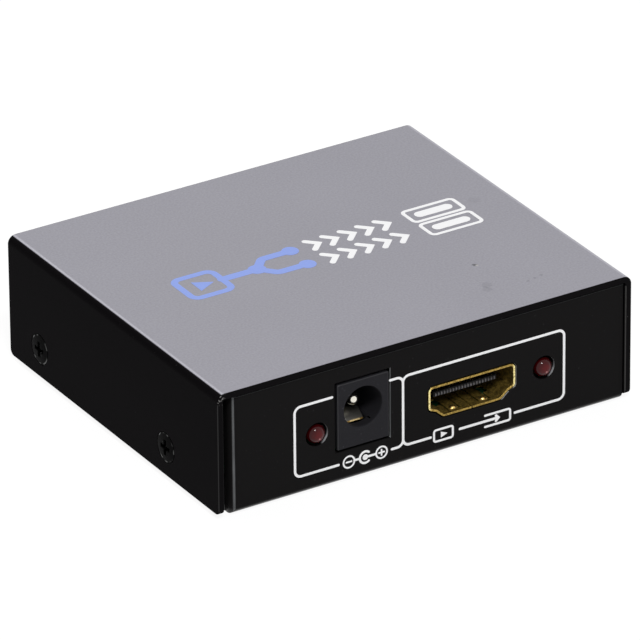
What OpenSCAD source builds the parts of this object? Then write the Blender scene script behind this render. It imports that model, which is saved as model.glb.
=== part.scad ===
/* [Cover] */
// Width of the cover over its two side walls
cover_w = 70; // [68:0.5:90]
// Depth of the cover from its front edge to its back edge
cover_d = 59.5; // [58:0.5:80]
// Height of the closed case, from the underside of the floor to the top of the cover
case_h = 20.15; // [19.5:0.05:30]
// Sheet thickness of the cover
cover_t = 1.0; // [0.8:0.1:1.4]
// Outside radius of the cover's two long bends
cover_bend_r = 1.3; // [1:0.1:2.5]
// Height of the side walls' lower edge above the underside of the floor
wall_lift = 0.75; // [0.3:0.05:1.5]
// Radius of the side walls' lower corners
wall_corner_r = 1.0; // [0.5:0.1:2.5]

/* [Chassis] */
// Sheet thickness of the chassis
chassis_t = 1.0; // [0.8:0.1:1.2]
// Outside radius of the chassis's bends
chassis_bend_r = 1.3; // [1.3:0.1:2]
// How far the panels stand back from the cover's front and back edges
panel_recess = 0.4; // [0.2:0.1:1.5]
// Gap between a panel's top edge and the cover
panel_top_gap = 0.3; // [0.1:0.1:1]
// Gap between the panels' left ends and the cover's wall
left_gap = 1.4; // [0.1:0.05:2.5]
// Gap between the panels' right ends and the cover's wall
right_gap = 0.15; // [0.1:0.05:2.5]
// Length of the flanges folded back from the panels' left ends
return_l = 2; // [1.8:0.1:3.4]
// Outside radius of the bends at the panels' left ends
return_bend_r = 1.3; // [1.3:0.1:1.8]
// Gap between the tabs that take the cover screws and the cover's walls
side_gap = 0.3; // [0.1:0.1:0.6]
// Width of the relief cuts beside the tabs
relief_w = 0.6; // [0.4:0.1:1]
// Width of the tabs that take the cover screws
tab_w = 9; // [7:0.5:10]
// Height of the tabs above the underside of the floor
tab_h = 9.2; // [8.6:0.1:12]

/* [Cover screws] */
// Thread diameter of the cover screws
screw_d = 2.5; // [2:0.1:3]
// Head diameter of the cover screws
screw_head_d = 4.7; // [4.5:0.1:5]
// Height of the head's crown above the side wall
screw_crown = 0.2; // [0.1:0.05:0.4]
// Length of a cover screw under its crown
screw_l = 4; // [3.5:0.25:5]
// Height of the screws above the underside of the floor
screw_z = 5.35; // [4.9:0.05:6]
// Distance of the front screws from the cover's front edge
screw_front = 14.6; // [10:0.5:22]
// Distance of the rear screws from the cover's back edge
screw_rear = 8.85; // [8:0.5:22]
// Width of the cross slots in the screw heads
cross_w = 0.6; // [0.4:0.05:0.8]
// Length of the cross slots
cross_l = 2.4; // [1.8:0.1:3]
// Depth of the cross slots
cross_depth = 0.9; // [0.5:0.1:1.1]

/* [Circuit board] */
// Thickness of the board
board_t = 1.6; // [1:0.2:2]
// Gap between the board and the panels
board_panel_gap = 0.75; // [0.4:0.05:1.5]
// Gap between the board and the tips of the cover screws
board_screw_gap = 0.5; // [0.3:0.1:1]
// Height of the standoffs over the floor
standoff_h = 2.85; // [2:0.05:4]
// Diameter of the standoffs
standoff_d = 5; // [4.5:0.1:5.5]
// Diameter of the standoffs' shanks in the floor
standoff_shank_d = 4; // [3.6:0.1:4.2]
// Thickness left under the standoffs' blind holes
standoff_base = 0.5; // [0.4:0.1:0.8]
// Distance of the standoffs from the board's side edges
standoff_side = 4; // [3.5:0.25:5]
// Distance of the standoffs from the board's front and rear edges
standoff_end = 11.6; // [10:0.5:14]
// Thread diameter of the board screws
board_screw_d = 2.5; // [2:0.1:2.8]
// Head diameter of the board screws
board_screw_head_d = 4.5; // [4:0.1:5]
// Head height of the board screws
board_screw_head_h = 1.5; // [1.2:0.1:2]
// Length of the board screws under the head
board_screw_l = 3.4; // [2.6:0.2:3.8]

/* [Power jack] */
// Distance of the jack's middle from the middle of the box
jack_x = -10.6; // [-11.5:0.1:-5.5]
// Width of the jack
jack_w = 8.6; // [8.4:0.1:9.8]
// Height of the jack
jack_h = 10.5; // [10.4:0.1:12.5]
// Length of the jack
jack_l = 14.2; // [13.6:0.2:16]
// How far the jack stands proud of the front panel
jack_proud = 0.1; // [0:0.1:1.5]
// Height of the jack's bore above the board
jack_axis_h = 6; // [6:0.1:6.6]
// Diameter of the jack's bore
jack_bore_d = 6.4; // [6:0.1:6.6]
// Depth of the jack's bore
jack_bore_depth = 9.6; // [9.2:0.1:10.2]
// Thickness of the wall behind the bore
jack_back_t = 1.6; // [1:0.1:2]
// Diameter of the centre pin
pin_d = 2; // [1.6:0.1:2.5]
// Depth of the pin's tip behind the jack's face
pin_tip_depth = 2.1; // [1:0.1:4]
// Diameter of the collar that holds the pin in the back wall
collar_d = 2.7; // [2.4:0.1:3.4]
// Gap between the jack and its cut-out in the panel
jack_cut_gap = 0.4; // [0.15:0.05:0.5]

/* [Sleeve leaf] */
// Width of the leaf
leaf_w = 2.8; // [2:0.1:3.2]
// Thickness of the leaf
leaf_t = 0.3; // [0.2:0.05:0.35]
// Depth of the leaf's root behind the jack's face
leaf_root_depth = 8.8; // [8.4:0.1:9]
// Drop of the leaf's root below the bore's axis
leaf_root_drop = 3.9; // [3.6:0.1:4.2]
// Depth of the leaf's crest behind the jack's face
leaf_crest_depth = 4.3; // [4:0.1:5]
// Drop of the leaf's crest below the bore's axis
leaf_crest_drop = 1.6; // [1.6:0.1:2.1]
// Depth of the leaf's free end behind the jack's face
leaf_end_depth = 2.3; // [2.2:0.1:2.6]
// Drop of the leaf's free end below the bore's axis
leaf_end_drop = 3.35; // [3.2:0.05:3.6]
// Angle that a plug turns the leaf through
leaf_swing = 16; // [8:1:16]

/* [Video sockets] */
// Distance of the input socket's middle from the middle of the box
input_x = 7.9; // [4:0.1:9]
// Distance of each output socket's middle from the middle of the box
output_x = 11; // [9:0.25:12]
// Width of a socket's opening
socket_w = 14.1; // [13.6:0.1:14.4]
// Height of a socket's opening
socket_h = 4.6; // [4.5:0.1:5]
// Width of the flat at the bottom of the opening
socket_flat_w = 9.5; // [9:0.1:10]
// Height of the opening's straight sides
socket_side_h = 3.1; // [2.8:0.1:3.3]
// Height of the opening's middle above the board
socket_axis_h = 3.1; // [3.1:0.1:4]
// Sheet thickness of a socket's shell
shell_t = 0.25; // [0.2:0.05:0.4]
// Width of the lip round a socket's mouth
lip_w = 0.1; // [0.05:0.05:0.4]
// Depth of the lip
lip_l = 0.5; // [0.3:0.1:0.8]
// Length of a socket's shell
shell_l = 11.6; // [11:0.2:13]
// How far a socket stands proud of its panel
socket_proud = 0; // [0:0.1:1]
// Gap between a socket's lip and its cut-out in the panel
socket_cut_gap = 0.2; // [0.15:0.05:0.5]
// Distance of the tongue's tip behind the socket's mouth
tongue_recess = 2; // [1.5:0.1:4]
// Width of the tongue
tongue_w = 10.8; // [10.4:0.1:11.4]
// Thickness of the tongue
tongue_t = 0.8; // [0.8:0.1:1.2]
// Height of the tongue's middle above the opening's middle
tongue_lift = 0.1; // [0:0.1:0.5]
// Length of the block that closes the back of a socket
block_l = 3.4; // [2:0.2:5]
// Distance between neighbouring contacts of one row
contact_pitch = 1.0; // [0.95:0.01:1.05]
// Width of a contact
contact_w = 0.35; // [0.25:0.05:0.4]
// Thickness of a contact
contact_t = 0.15; // [0.1:0.05:0.2]
// Width of the spring fingers cut into a shell
finger_w = 1.6; // [1.2:0.1:2]
// Length of the spring fingers
finger_l = 5; // [3:0.5:6]
// Distance of the spring fingers from a socket's middle
finger_x = 2.55; // [2:0.05:2.8]
// Width of the slots round the spring fingers
finger_slot = 0.25; // [0.2:0.05:0.4]
// Distance of the spring fingers' tips behind the mouth
finger_recess = 0.7; // [0.6:0.1:2]
// Width of the windows beside the lower spring fingers
window_w = 1.2; // [0.8:0.1:1.3]
// Length of the windows
window_l = 1.8; // [1:0.1:2]
// Distance of the windows behind the mouth
window_depth = 2.85; // [2:0.05:3.2]

/* [Lights] */
// Distance of the power light from the middle of the box
power_led_x = -18.3; // [-20.5:0.1:-18.2]
// Distance of the input light from the middle of the box
input_led_x = 20.2; // [19.5:0.1:22]
// Distance of each output light from the middle of the box
output_led_x = 23.35; // [22.5:0.05:24.5]
// Diameter of a light's lens
led_d = 3; // [2.6:0.1:3.2]
// Length of a lens behind its dome
led_l = 3.8; // [3:0.1:4.5]
// Diameter of the rim at the back of a lens
led_rim_d = 3.9; // [3.6:0.1:4.1]
// Thickness of the rim
led_rim_t = 1.0; // [0.8:0.1:1.2]
// Height of the lights above the board
led_axis_h = 3.6; // [3:0.1:5]
// How far a lens stands proud of its panel
led_proud = 0.8; // [0.4:0.1:1.4]
// Diameter of the panel holes for the lights
led_hole_d = 3.7; // [3.6:0.1:4]
// Distance between the two legs of a light
led_pitch = 2.54; // [2.4:0.02:2.6]
// Thickness of a light's legs
led_leg_t = 0.5; // [0.4:0.05:0.55]

/* [Chips] */
// Width of the splitter chip's body
chip_w = 14; // [12:0.5:15]
// Height of the splitter chip's body
chip_h = 1.4; // [1:0.1:2]
// Legs along each side of the splitter chip
chip_legs = 16; // [8:1:20]
// Distance between the splitter chip's legs
chip_pitch = 0.8; // [0.6:0.05:0.8]
// Width of the splitter chip's legs
chip_leg_w = 0.4; // [0.2:0.05:0.5]
// Reach of the chips' legs beyond their bodies
chip_reach = 1.0; // [0.8:0.1:1.4]
// Thickness of the chips' legs
chip_leg_t = 0.15; // [0.1:0.05:0.2]
// Gap between the board and the chips' bodies
chip_lift = 0.1; // [0.1:0.05:0.3]
// Length of a memory chip's body
memory_l = 5; // [4.4:0.2:5.6]
// Width of a memory chip's body
memory_w = 4; // [3.6:0.2:4.6]
// Height of a memory chip's body
memory_h = 1.5; // [1.2:0.1:1.8]
// Distance between a memory chip's legs
memory_pitch = 1.27; // [1:0.01:1.27]
// Width of a memory chip's legs
memory_leg_w = 0.42; // [0.3:0.02:0.6]
// Length of the regulator's body
regulator_l = 6.5; // [6:0.1:7]
// Width of the regulator's body
regulator_w = 3.5; // [3.2:0.1:4]
// Height of the regulator's body
regulator_h = 1.6; // [1.4:0.1:1.9]
// Distance between the regulator's legs
regulator_pitch = 2.3; // [2:0.05:2.4]
// Width of the regulator's legs
regulator_leg_w = 0.75; // [0.5:0.05:1]
// Width of the regulator's tab
regulator_tab_w = 3; // [2.5:0.1:3.5]

/* [Other board parts] */
// Width of the inductor
inductor_w = 7; // [6:0.2:7.4]
// Height of the inductor
inductor_h = 3.5; // [2:0.1:5]
// Diameter of a capacitor's can
can_d = 6.3; // [5:0.1:6.6]
// Height of a capacitor's can over its base
can_h = 5.4; // [4:0.2:8]
// Height of a capacitor's base
can_base_h = 0.8; // [0.6:0.1:1.2]
// Width of a capacitor's base
can_base_w = 6.6; // [6.5:0.1:7]
// Length of the crystal's can
crystal_l = 11; // [10:0.2:12]
// Width of the crystal's can
crystal_w = 4.5; // [4:0.1:5]
// Height of the crystal's can
crystal_h = 3.5; // [3:0.1:4.5]
// Length of a chip resistor or a chip capacitor
bead_l = 1.6; // [1:0.1:1.8]
// Width of a chip resistor or a chip capacitor
bead_w = 0.8; // [0.5:0.1:1]
// Height of a chip resistor
resistor_h = 0.45; // [0.3:0.05:0.6]
// Height of a chip capacitor
ceramic_h = 0.8; // [0.5:0.1:1]
// Distance between the chip resistors of a row
bead_step = 2; // [1.5:0.1:2.2]

/* [Hidden] */
$fn = 48;
// Running gap between pieces that are pressed or screwed together
fit_gap = 0.05;
// Gap round a piece that is moulded into another
mould_gap = 0.02;
// Reach of a cutting tool past the face that it cuts
past = 1;
// Steps in a rounded corner of an outline
corner_steps = 6;
// How far terminals and legs reach out under the board
tail_l = 1.0;
// Gap round a terminal or a leg in its hole in the board
board_hole_gap = 0.15;
// Gap round a board screw in its hole in the board
board_screw_play = 0.1;

cover_in_w = cover_w - 2 * cover_t;
cover_in_top = case_h - cover_t;
panel_face = cover_d / 2 - panel_recess;
panel_top = cover_in_top - panel_top_gap;
tabs_w = cover_in_w - 2 * side_gap;
chassis_left = left_gap - cover_in_w / 2;
chassis_right = cover_in_w / 2 - right_gap;
floor_end = panel_face - return_l;
board_top = chassis_t + standoff_h + board_t;
board_w = cover_w - 2 * (screw_l + board_screw_gap);
board_d = 2 * (panel_face - chassis_t - board_panel_gap);
tail_z = -board_t - tail_l;
screw_ys = [screw_front - cover_d / 2, cover_d / 2 - screw_rear];
standoff_spots = [for (x = [-1, 1], y = [-1, 1])
  [x * (board_w / 2 - standoff_side), y * (board_d / 2 - standoff_end)]];
standoff_bore_d = board_screw_d + 2 * fit_gap;
board_hole_d = board_screw_d + 2 * board_screw_play;

// The jack, seen from its own face: depth runs in from the face, height from the bore's axis
leaf_side_gap = 0.25;
leaf_slot_w = leaf_w + 2 * leaf_side_gap;
leaf_slot_front = 1.7;
leaf_floor_gap = 0.25;
// Height of the free end above the root when a plug holds the leaf down
leaf_end_low = (leaf_root_drop - leaf_end_drop) * cos(leaf_swing)
  - (leaf_root_depth - leaf_end_depth) * sin(leaf_swing);
leaf_slot_floor = leaf_end_low - leaf_root_drop - leaf_t / 2 - leaf_floor_gap;
leaf_root_r = 0.3;
leaf_crest_r = 0.8;
sleeve_t = 0.4;
sleeve_w = 2.4;
sleeve_rise = 0.5;
sleeve_front = jack_bore_depth - sleeve_t;
rivet_d = 1.4;
rivet_head_d = 2.2;
rivet_head_t = 0.4;
plate_t = 0.5;
plate_w = 2.6;
plate_rise = 1.8;
plate_depth = jack_bore_depth + jack_back_t;
pocket_w = 5;
pocket_h = 9.6;

// Inside outline of a video socket about the middle of its opening
socket_shoulder_w = 1.05;
socket_shoulder_h = 0.4;
socket_points = [
  [socket_w / 2, socket_h / 2 - socket_side_h],
  [socket_w / 2, socket_h / 2],
  [-socket_w / 2, socket_h / 2],
  [-socket_w / 2, socket_h / 2 - socket_side_h],
  [socket_shoulder_w - socket_w / 2, socket_h / 2 - socket_side_h - socket_shoulder_h],
  [-socket_flat_w / 2, -socket_h / 2],
  [socket_flat_w / 2, -socket_h / 2],
  [socket_w / 2 - socket_shoulder_w, socket_h / 2 - socket_side_h - socket_shoulder_h]
];
socket_corner_r = [0.4, 0.5, 0.5, 0.4, 0.6, 0.7, 0.7, 0.6];
// 1 where the outline turns outwards, -1 where it turns inwards
socket_turn = [1, 1, 1, 1, -1, 1, 1, -1];
least_corner_r = 0.1;
block_front = shell_l - block_l;
seam_w = 0.15;
bump_rise = 0.3;
bump_r = 0.65;
bump_setback = 0.65;
leg_l = 1.0;
leg_depths = [3.2, 8.4];
top_row = 10;
bottom_row = 9;
contact_setback = 0.3;
contact_foot = 0.8;
contact_proud = 0.03;

led_r = led_d / 2;
led_centre = led_r - led_proud;
led_back = led_centre + led_l;
led_leg_out = 1.7;
led_leg_in = 2.4;
led_cup_d = 1.6;
led_cup_l = 0.9;
led_cup_hollow = 0.6;
led_cup_floor_d = 0.5;
led_cup_rim_d = 1.3;

chip_spot = [4, 0];
chip_dot_d = 1;
chip_dot_depth = 0.1;
chip_dot_inset = 1.5;
leg_knee_l = 0.4;
memory_spots = [[19.5, -6], [19.5, 4]];
memory_legs = 4;
regulator_spot = [-20, -9];
regulator_legs = 3;
inductor_spot = [-11.5, -9];
inductor_cut = 1.2;
can_spots = [[-21, 2.5], [-13, 2.5]];
can_groove = 0.25;
can_groove_z = 0.6;
can_groove_h = 0.5;
crystal_spot = [-16, 10.5];
crystal_foot_t = 0.5;
crystal_foot_w = 0.4;
resistor_count = 8;
resistor_start = [-3.5, 11.5];
ceramic_count = 7;
ceramic_start = [-2, -11.5];

cover_grey = [0.62, 0.61, 0.65];
case_black = [0.09, 0.085, 0.09];
jack_black = [0.16, 0.16, 0.175];
shell_gold = [0.83, 0.66, 0.33];
contact_gold = [0.86, 0.72, 0.42];
insulator_grey = [0.2, 0.2, 0.21];
lens_red = [0.45, 0.03, 0.05];
tinned = [0.74, 0.74, 0.72];
board_green = [0.05, 0.3, 0.16];
chip_black = [0.12, 0.12, 0.13];
ferrite_grey = [0.24, 0.24, 0.25];
can_silver = [0.76, 0.77, 0.79];
resistor_black = [0.1, 0.1, 0.11];
ceramic_tan = [0.62, 0.52, 0.38];

// Outlines
function unit(v) = v / norm(v);
function before(list, i) = list[(i + len(list) - 1) % len(list)];
function after(list, i) = list[(i + 1) % len(list)];
function outward(a, b) = unit([b[1] - a[1], a[0] - b[0]]);

// A closed outline moved outwards by a distance, with its corners kept sharp
function grown(points, by) = [for (i = [0:len(points) - 1])
  let (n = outward(before(points, i), points[i]), m = outward(points[i], after(points, i)))
  points[i] + by * (n + m) / (1 + n * m)];

// The points of a round corner at b, between the lines to a and to c
function corner(a, b, c, r) =
  let (
    u = unit(a - b),
    v = unit(c - b),
    half = acos(u * v) / 2,
    middle = b + unit(u + v) * r / sin(half),
    start = b + u * r / tan(half) - middle,
    end = b + v * r / tan(half) - middle,
    first = atan2(start[1], start[0]),
    sweep = atan2(start[0] * end[1] - start[1] * end[0], start * end)
  )
  [for (i = [0:corner_steps])
    let (angle = first + sweep * i / corner_steps)
    middle + r * [cos(angle), sin(angle)]];

function socket_outline(by) =
  let (points = grown(socket_points, by))
  [for (i = [0:len(points) - 1])
    let (r = max(socket_corner_r[i] + socket_turn[i] * by, least_corner_r))
    each corner(before(points, i), points[i], after(points, i), r)];

// A strip of even thickness along an open path
function side_of(path, i, by) =
  let (
    n = len(path),
    d = unit(path[min(i + 1, n - 1)] - path[max(i - 1, 0)])
  )
  path[i] + by * [-d[1], d[0]];

function strip(path, thickness) = concat(
  [for (i = [0:len(path) - 1]) side_of(path, i, thickness / 2)],
  [for (i = [len(path) - 1:-1:0]) side_of(path, i, -thickness / 2)]
);

// A rectangle with round corners
module round_rect(w, h, r) {
  square([w - 2 * r, h], center = true);
  square([w, h - 2 * r], center = true);
  for (x = [-1, 1], y = [-1, 1])
    translate([x * (w / 2 - r), y * (h / 2 - r)])
      circle(r);
}

// A rectangle standing on its base, with round lower corners
module round_base(w, h, r) {
  translate([-w / 2, r])
    square([w, h - r]);
  translate([r - w / 2, 0])
    square([w - 2 * r, h]);
  for (x = [-1, 1])
    translate([x * (w / 2 - r), r])
      circle(r);
}

// A channel bent from the chassis's sheet, open at the top
module channel(w, h) {
  difference() {
    round_base(w, h, chassis_bend_r);
    translate([0, chassis_t])
      round_base(w - 2 * chassis_t, h, chassis_bend_r - chassis_t);
  }
}

// Extrudes an upright outline along Y, or along X
module along_y(from, length) {
  translate([0, from + length, 0])
    rotate([90, 0, 0])
      linear_extrude(length)
        children();
}

module along_x(from, length) {
  translate([from, 0, 0])
    rotate([90, 0, 90])
      linear_extrude(length)
        children();
}

module block(low, high) {
  translate(low)
    cube(high - low);
}

// Places a port on the front or the rear panel: Y runs in from the panel's face, Z up from the board
module at_front(x) {
  translate([x, -panel_face, board_top])
    children();
}

module at_rear(x) {
  rotate([0, 0, 180])
    translate([-x, -panel_face, board_top])
      children();
}

module on_board(spot) {
  translate([spot[0], spot[1], board_top])
    children();
}

module cross_slots(top) {
  for (turn = [0, 90])
    rotate(turn)
      block([-cross_l / 2, -cross_w / 2, top - cross_depth], [cross_l / 2, cross_w / 2, top + past]);
}

// A cover screw standing on its tip's axis, with the wall's outer face at height 0
module cover_screw() {
  crown_r = (pow(screw_head_d / 2, 2) + pow(screw_crown, 2)) / (2 * screw_crown);
  cone_h = (screw_head_d - screw_d) / 2;
  difference() {
    union() {
      translate([0, 0, -screw_l])
        cylinder(d = screw_d, h = screw_l);
      translate([0, 0, -cone_h])
        cylinder(d1 = screw_d, d2 = screw_head_d, h = cone_h);
      intersection() {
        cylinder(d = screw_head_d, h = screw_crown);
        translate([0, 0, screw_crown - crown_r])
          sphere(crown_r);
      }
    }
    cross_slots(screw_crown);
  }
}

// The countersunk hole for a cover screw
module cover_screw_hole() {
  cone_h = (screw_head_d - screw_d) / 2;
  hole_d = screw_d + 2 * fit_gap;
  translate([0, 0, -cone_h])
    cylinder(d1 = hole_d, d2 = hole_d + 2 * cone_h, h = cone_h);
  translate([0, 0, -screw_l])
    cylinder(d = hole_d, h = screw_l);
  cylinder(d = hole_d + 2 * cone_h, h = past);
}

module at_cover_screws() {
  for (side = [-1, 1], y = screw_ys)
    translate([side * cover_w / 2, y, screw_z])
      rotate([0, side * 90, 0])
        children();
}

module top_cover() {
  color(cover_grey)
    difference() {
      intersection() {
        along_y(-cover_d / 2, cover_d)
          difference() {
            translate([0, case_h])
              mirror([0, 1])
                round_base(cover_w, case_h - wall_lift, cover_bend_r);
            translate([0, cover_in_top])
              mirror([0, 1])
                round_base(cover_in_w, case_h, cover_bend_r - cover_t);
          }
        along_x(-cover_w / 2, cover_w)
          translate([0, wall_lift])
            round_base(cover_d, case_h - wall_lift, wall_corner_r);
      }
      at_cover_screws()
        cover_screw_hole();
    }
}

module led_hole() {
  translate([0, -past, led_axis_h])
    rotate([-90, 0, 0])
      cylinder(d = led_hole_d, h = chassis_t + 2 * past);
}

module socket_hole() {
  translate([0, 0, socket_axis_h])
    along_y(-past, chassis_t + 2 * past)
      polygon(socket_outline(shell_t + lip_w + socket_cut_gap));
}

module jack_hole() {
  block([-jack_w / 2 - jack_cut_gap, -past, -jack_cut_gap],
    [jack_w / 2 + jack_cut_gap, chassis_t + past, jack_h + jack_cut_gap]);
}

// Plan of the floor and the panels, moved inwards by a distance at all but its right end
module tray_plan(by) {
  left = chassis_left + by;
  half = panel_face - by;
  translate([left / 2, 0])
    round_rect(-left, 2 * half, return_bend_r - by);
  translate([left / 2, -half])
    square([chassis_right - left / 2, 2 * half]);
}

// The floor with the two panels, whose left ends are folded back
module tray() {
  intersection() {
    along_x(chassis_left, chassis_right - chassis_left)
      round_base(2 * panel_face, panel_top, chassis_bend_r);
    linear_extrude(panel_top)
      tray_plan(0);
    union() {
      along_x(chassis_left, chassis_right - chassis_left)
        channel(2 * panel_face, panel_top);
      linear_extrude(panel_top)
        difference() {
          tray_plan(0);
          tray_plan(chassis_t);
          square([cover_w, 2 * floor_end], center = true);
        }
    }
  }
}

module base_chassis() {
  color(case_black)
    difference() {
      union() {
        difference() {
          union() {
            tray();
            block([-tabs_w / 2, -floor_end, 0], [tabs_w / 2, floor_end, chassis_t]);
          }
          for (y = screw_ys)
            tab_reliefs(y);
        }
        for (y = screw_ys)
          along_y(y - tab_w / 2, tab_w)
            channel(tabs_w, tab_h);
      }
      at_cover_screws()
        cover_screw_hole();
      for (spot = standoff_spots)
        translate([spot[0], spot[1], -past])
          cylinder(d = standoff_shank_d + 2 * fit_gap, h = chassis_t + 2 * past);
      at_front(power_led_x)
        led_hole();
      at_front(input_led_x)
        led_hole();
      at_front(jack_x)
        jack_hole();
      at_front(input_x)
        socket_hole();
      for (side = [-1, 1]) {
        at_rear(side * output_x)
          socket_hole();
        at_rear(side * output_led_x)
          led_hole();
      }
    }
}

// The cuts in the floor's two long edges that let a pair of tabs bend up
module tab_reliefs(y) {
  for (side = [-1, 1])
    translate([side * tabs_w / 2, y, 0])
      cube([2 * chassis_bend_r, tab_w + 2 * relief_w, 2 * chassis_t + past], center = true);
}

module cover_screws() {
  color(case_black)
    at_cover_screws()
      cover_screw();
}

// A slot through the board round a terminal that reaches from low to high, in plan
module board_slot(low, high) {
  block([low[0] - board_hole_gap, low[1] - board_hole_gap, -board_t - past],
    [high[0] + board_hole_gap, high[1] + board_hole_gap, past]);
}

module led_slots() {
  for (side = [-1, 1])
    board_slot([side * led_pitch / 2 - led_leg_t / 2, led_back + led_leg_out - led_leg_t],
      [side * led_pitch / 2 + led_leg_t / 2, led_back + led_leg_out]);
}

module shell_slots() {
  for (side = [-1, 1], depth = leg_depths)
    board_slot([side * (socket_w + shell_t) / 2 - shell_t / 2, depth - socket_proud],
      [side * (socket_w + shell_t) / 2 + shell_t / 2, depth - socket_proud + leg_l]);
}

module jack_slots() {
  board_slot([-plate_w / 2, plate_depth - jack_proud],
    [plate_w / 2, plate_depth - jack_proud + plate_t]);
  board_slot([-sleeve_w / 2, sleeve_front - jack_proud],
    [sleeve_w / 2, sleeve_front - jack_proud + sleeve_t]);
}

module circuit_board() {
  color(board_green)
    difference() {
      block([-board_w / 2, -board_d / 2, board_top - board_t], [board_w / 2, board_d / 2, board_top]);
      for (spot = standoff_spots)
        on_board(spot)
          translate([0, 0, -board_t - past])
            cylinder(d = board_hole_d, h = board_t + 2 * past);
      at_front(power_led_x)
        led_slots();
      at_front(input_led_x)
        led_slots();
      at_front(jack_x)
        jack_slots();
      at_front(input_x)
        shell_slots();
      for (side = [-1, 1]) {
        at_rear(side * output_x)
          shell_slots();
        at_rear(side * output_led_x)
          led_slots();
      }
    }
}

module board_standoffs() {
  color(tinned)
    for (spot = standoff_spots)
      translate([spot[0], spot[1], 0])
        difference() {
          union() {
            cylinder(d = standoff_shank_d, h = chassis_t);
            translate([0, 0, chassis_t])
              cylinder(d = standoff_d, h = standoff_h);
          }
          translate([0, 0, standoff_base])
            cylinder(d = standoff_bore_d, h = chassis_t + standoff_h);
        }
}

module board_screws() {
  color(tinned)
    for (spot = standoff_spots)
      on_board(spot)
        difference() {
          union() {
            translate([0, 0, -board_screw_l])
              cylinder(d = board_screw_d, h = board_screw_l);
            cylinder(d = board_screw_head_d, h = board_screw_head_h);
          }
          cross_slots(board_screw_head_h);
        }
}

// Places a piece of the jack: Y is depth behind the jack's face, Z height above the bore's axis
module at_jack() {
  at_front(jack_x)
    translate([0, -jack_proud, jack_axis_h])
      children();
}

module jack_cylinder(d, from, to) {
  translate([0, from, 0])
    rotate([-90, 0, 0])
      cylinder(d = d, h = to - from);
}

module jack_housing() {
  floor_z = -jack_axis_h;
  color(jack_black)
    at_jack()
      difference() {
        block([-jack_w / 2, 0, floor_z], [jack_w / 2, jack_l, floor_z + jack_h]);
        jack_cylinder(jack_bore_d, -past, jack_bore_depth);
        jack_cylinder(collar_d + 2 * fit_gap, 0, plate_depth + past);
        block([-leaf_slot_w / 2, leaf_slot_front, leaf_slot_floor],
          [leaf_slot_w / 2, jack_bore_depth, 0]);
        block([-sleeve_w / 2 - fit_gap, sleeve_front - fit_gap, floor_z - past],
          [sleeve_w / 2 + fit_gap, jack_bore_depth, 0]);
        block([-pocket_w / 2, plate_depth, floor_z - past],
          [pocket_w / 2, jack_l + past, floor_z + pocket_h]);
      }
}

module jack_pin() {
  color(tinned)
    at_jack() {
      translate([0, pin_tip_depth + pin_d / 2, 0])
        sphere(d = pin_d);
      jack_cylinder(pin_d, pin_tip_depth + pin_d / 2, jack_bore_depth);
      jack_cylinder(collar_d, jack_bore_depth, plate_depth);
      jack_cylinder(rivet_d, plate_depth, plate_depth + plate_t);
      jack_cylinder(rivet_head_d, plate_depth + plate_t, plate_depth + plate_t + rivet_head_t);
    }
}

module jack_pin_terminal() {
  color(tinned)
    at_jack()
      difference() {
        block([-plate_w / 2, plate_depth, tail_z - jack_axis_h],
          [plate_w / 2, plate_depth + plate_t, plate_rise]);
        jack_cylinder(rivet_d + 2 * fit_gap, plate_depth - past, plate_depth + plate_t + past);
      }
}

module jack_sleeve_terminal() {
  color(tinned)
    at_jack()
      block([-sleeve_w / 2, sleeve_front, tail_z - jack_axis_h],
        [sleeve_w / 2, jack_bore_depth, sleeve_rise - leaf_root_drop]);
}

// The leaf rises from its root to a crest, and drops again to its free end
module jack_leaf() {
  root = [leaf_root_depth, -leaf_root_drop];
  crest = [leaf_crest_depth, -leaf_crest_drop];
  end = [leaf_end_depth, -leaf_end_drop];
  path = concat([root], corner(root, crest, end, leaf_crest_r), [end]);
  color(tinned)
    at_jack()
      union() {
        along_x(-leaf_w / 2, leaf_w)
          polygon(strip(path, leaf_t));
        along_x(-leaf_w / 2, leaf_w)
          translate(root)
            circle(leaf_root_r);
      }
}

// Places a piece of a video socket: Y is depth behind its mouth, Z height above the opening's middle
module in_socket() {
  translate([0, -socket_proud, socket_axis_h])
    children();
}

// The openings beside the lower spring fingers
module finger_windows(from_z, to_z) {
  for (side = [-1, 1])
    translate([side * (finger_x + (finger_w + window_w) / 2), 0, 0])
      block([-window_w / 2, window_depth, from_z], [window_w / 2, window_depth + window_l, to_z]);
}

// The slots on three sides of a spring finger, which stays joined at its root
module finger_slots(from_z, to_z) {
  for (x = [-1, 1] * finger_x) {
    for (side = [-1, 1])
      translate([x + side * (finger_w + finger_slot) / 2, 0, 0])
        block([-finger_slot / 2, finger_recess, from_z],
          [finger_slot / 2, finger_recess + finger_l, to_z]);
    block([x - finger_w / 2, finger_recess, from_z], [x + finger_w / 2, finger_recess + finger_slot, to_z]);
  }
}

// A round bump on a spring finger, pressed in from the outside of the shell
module finger_bump() {
  intersection() {
    translate([0, 0, bump_rise - bump_r])
      sphere(bump_r);
    block([-bump_r, -bump_r, -shell_t / 2], [bump_r, bump_r, bump_r]);
  }
}

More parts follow.
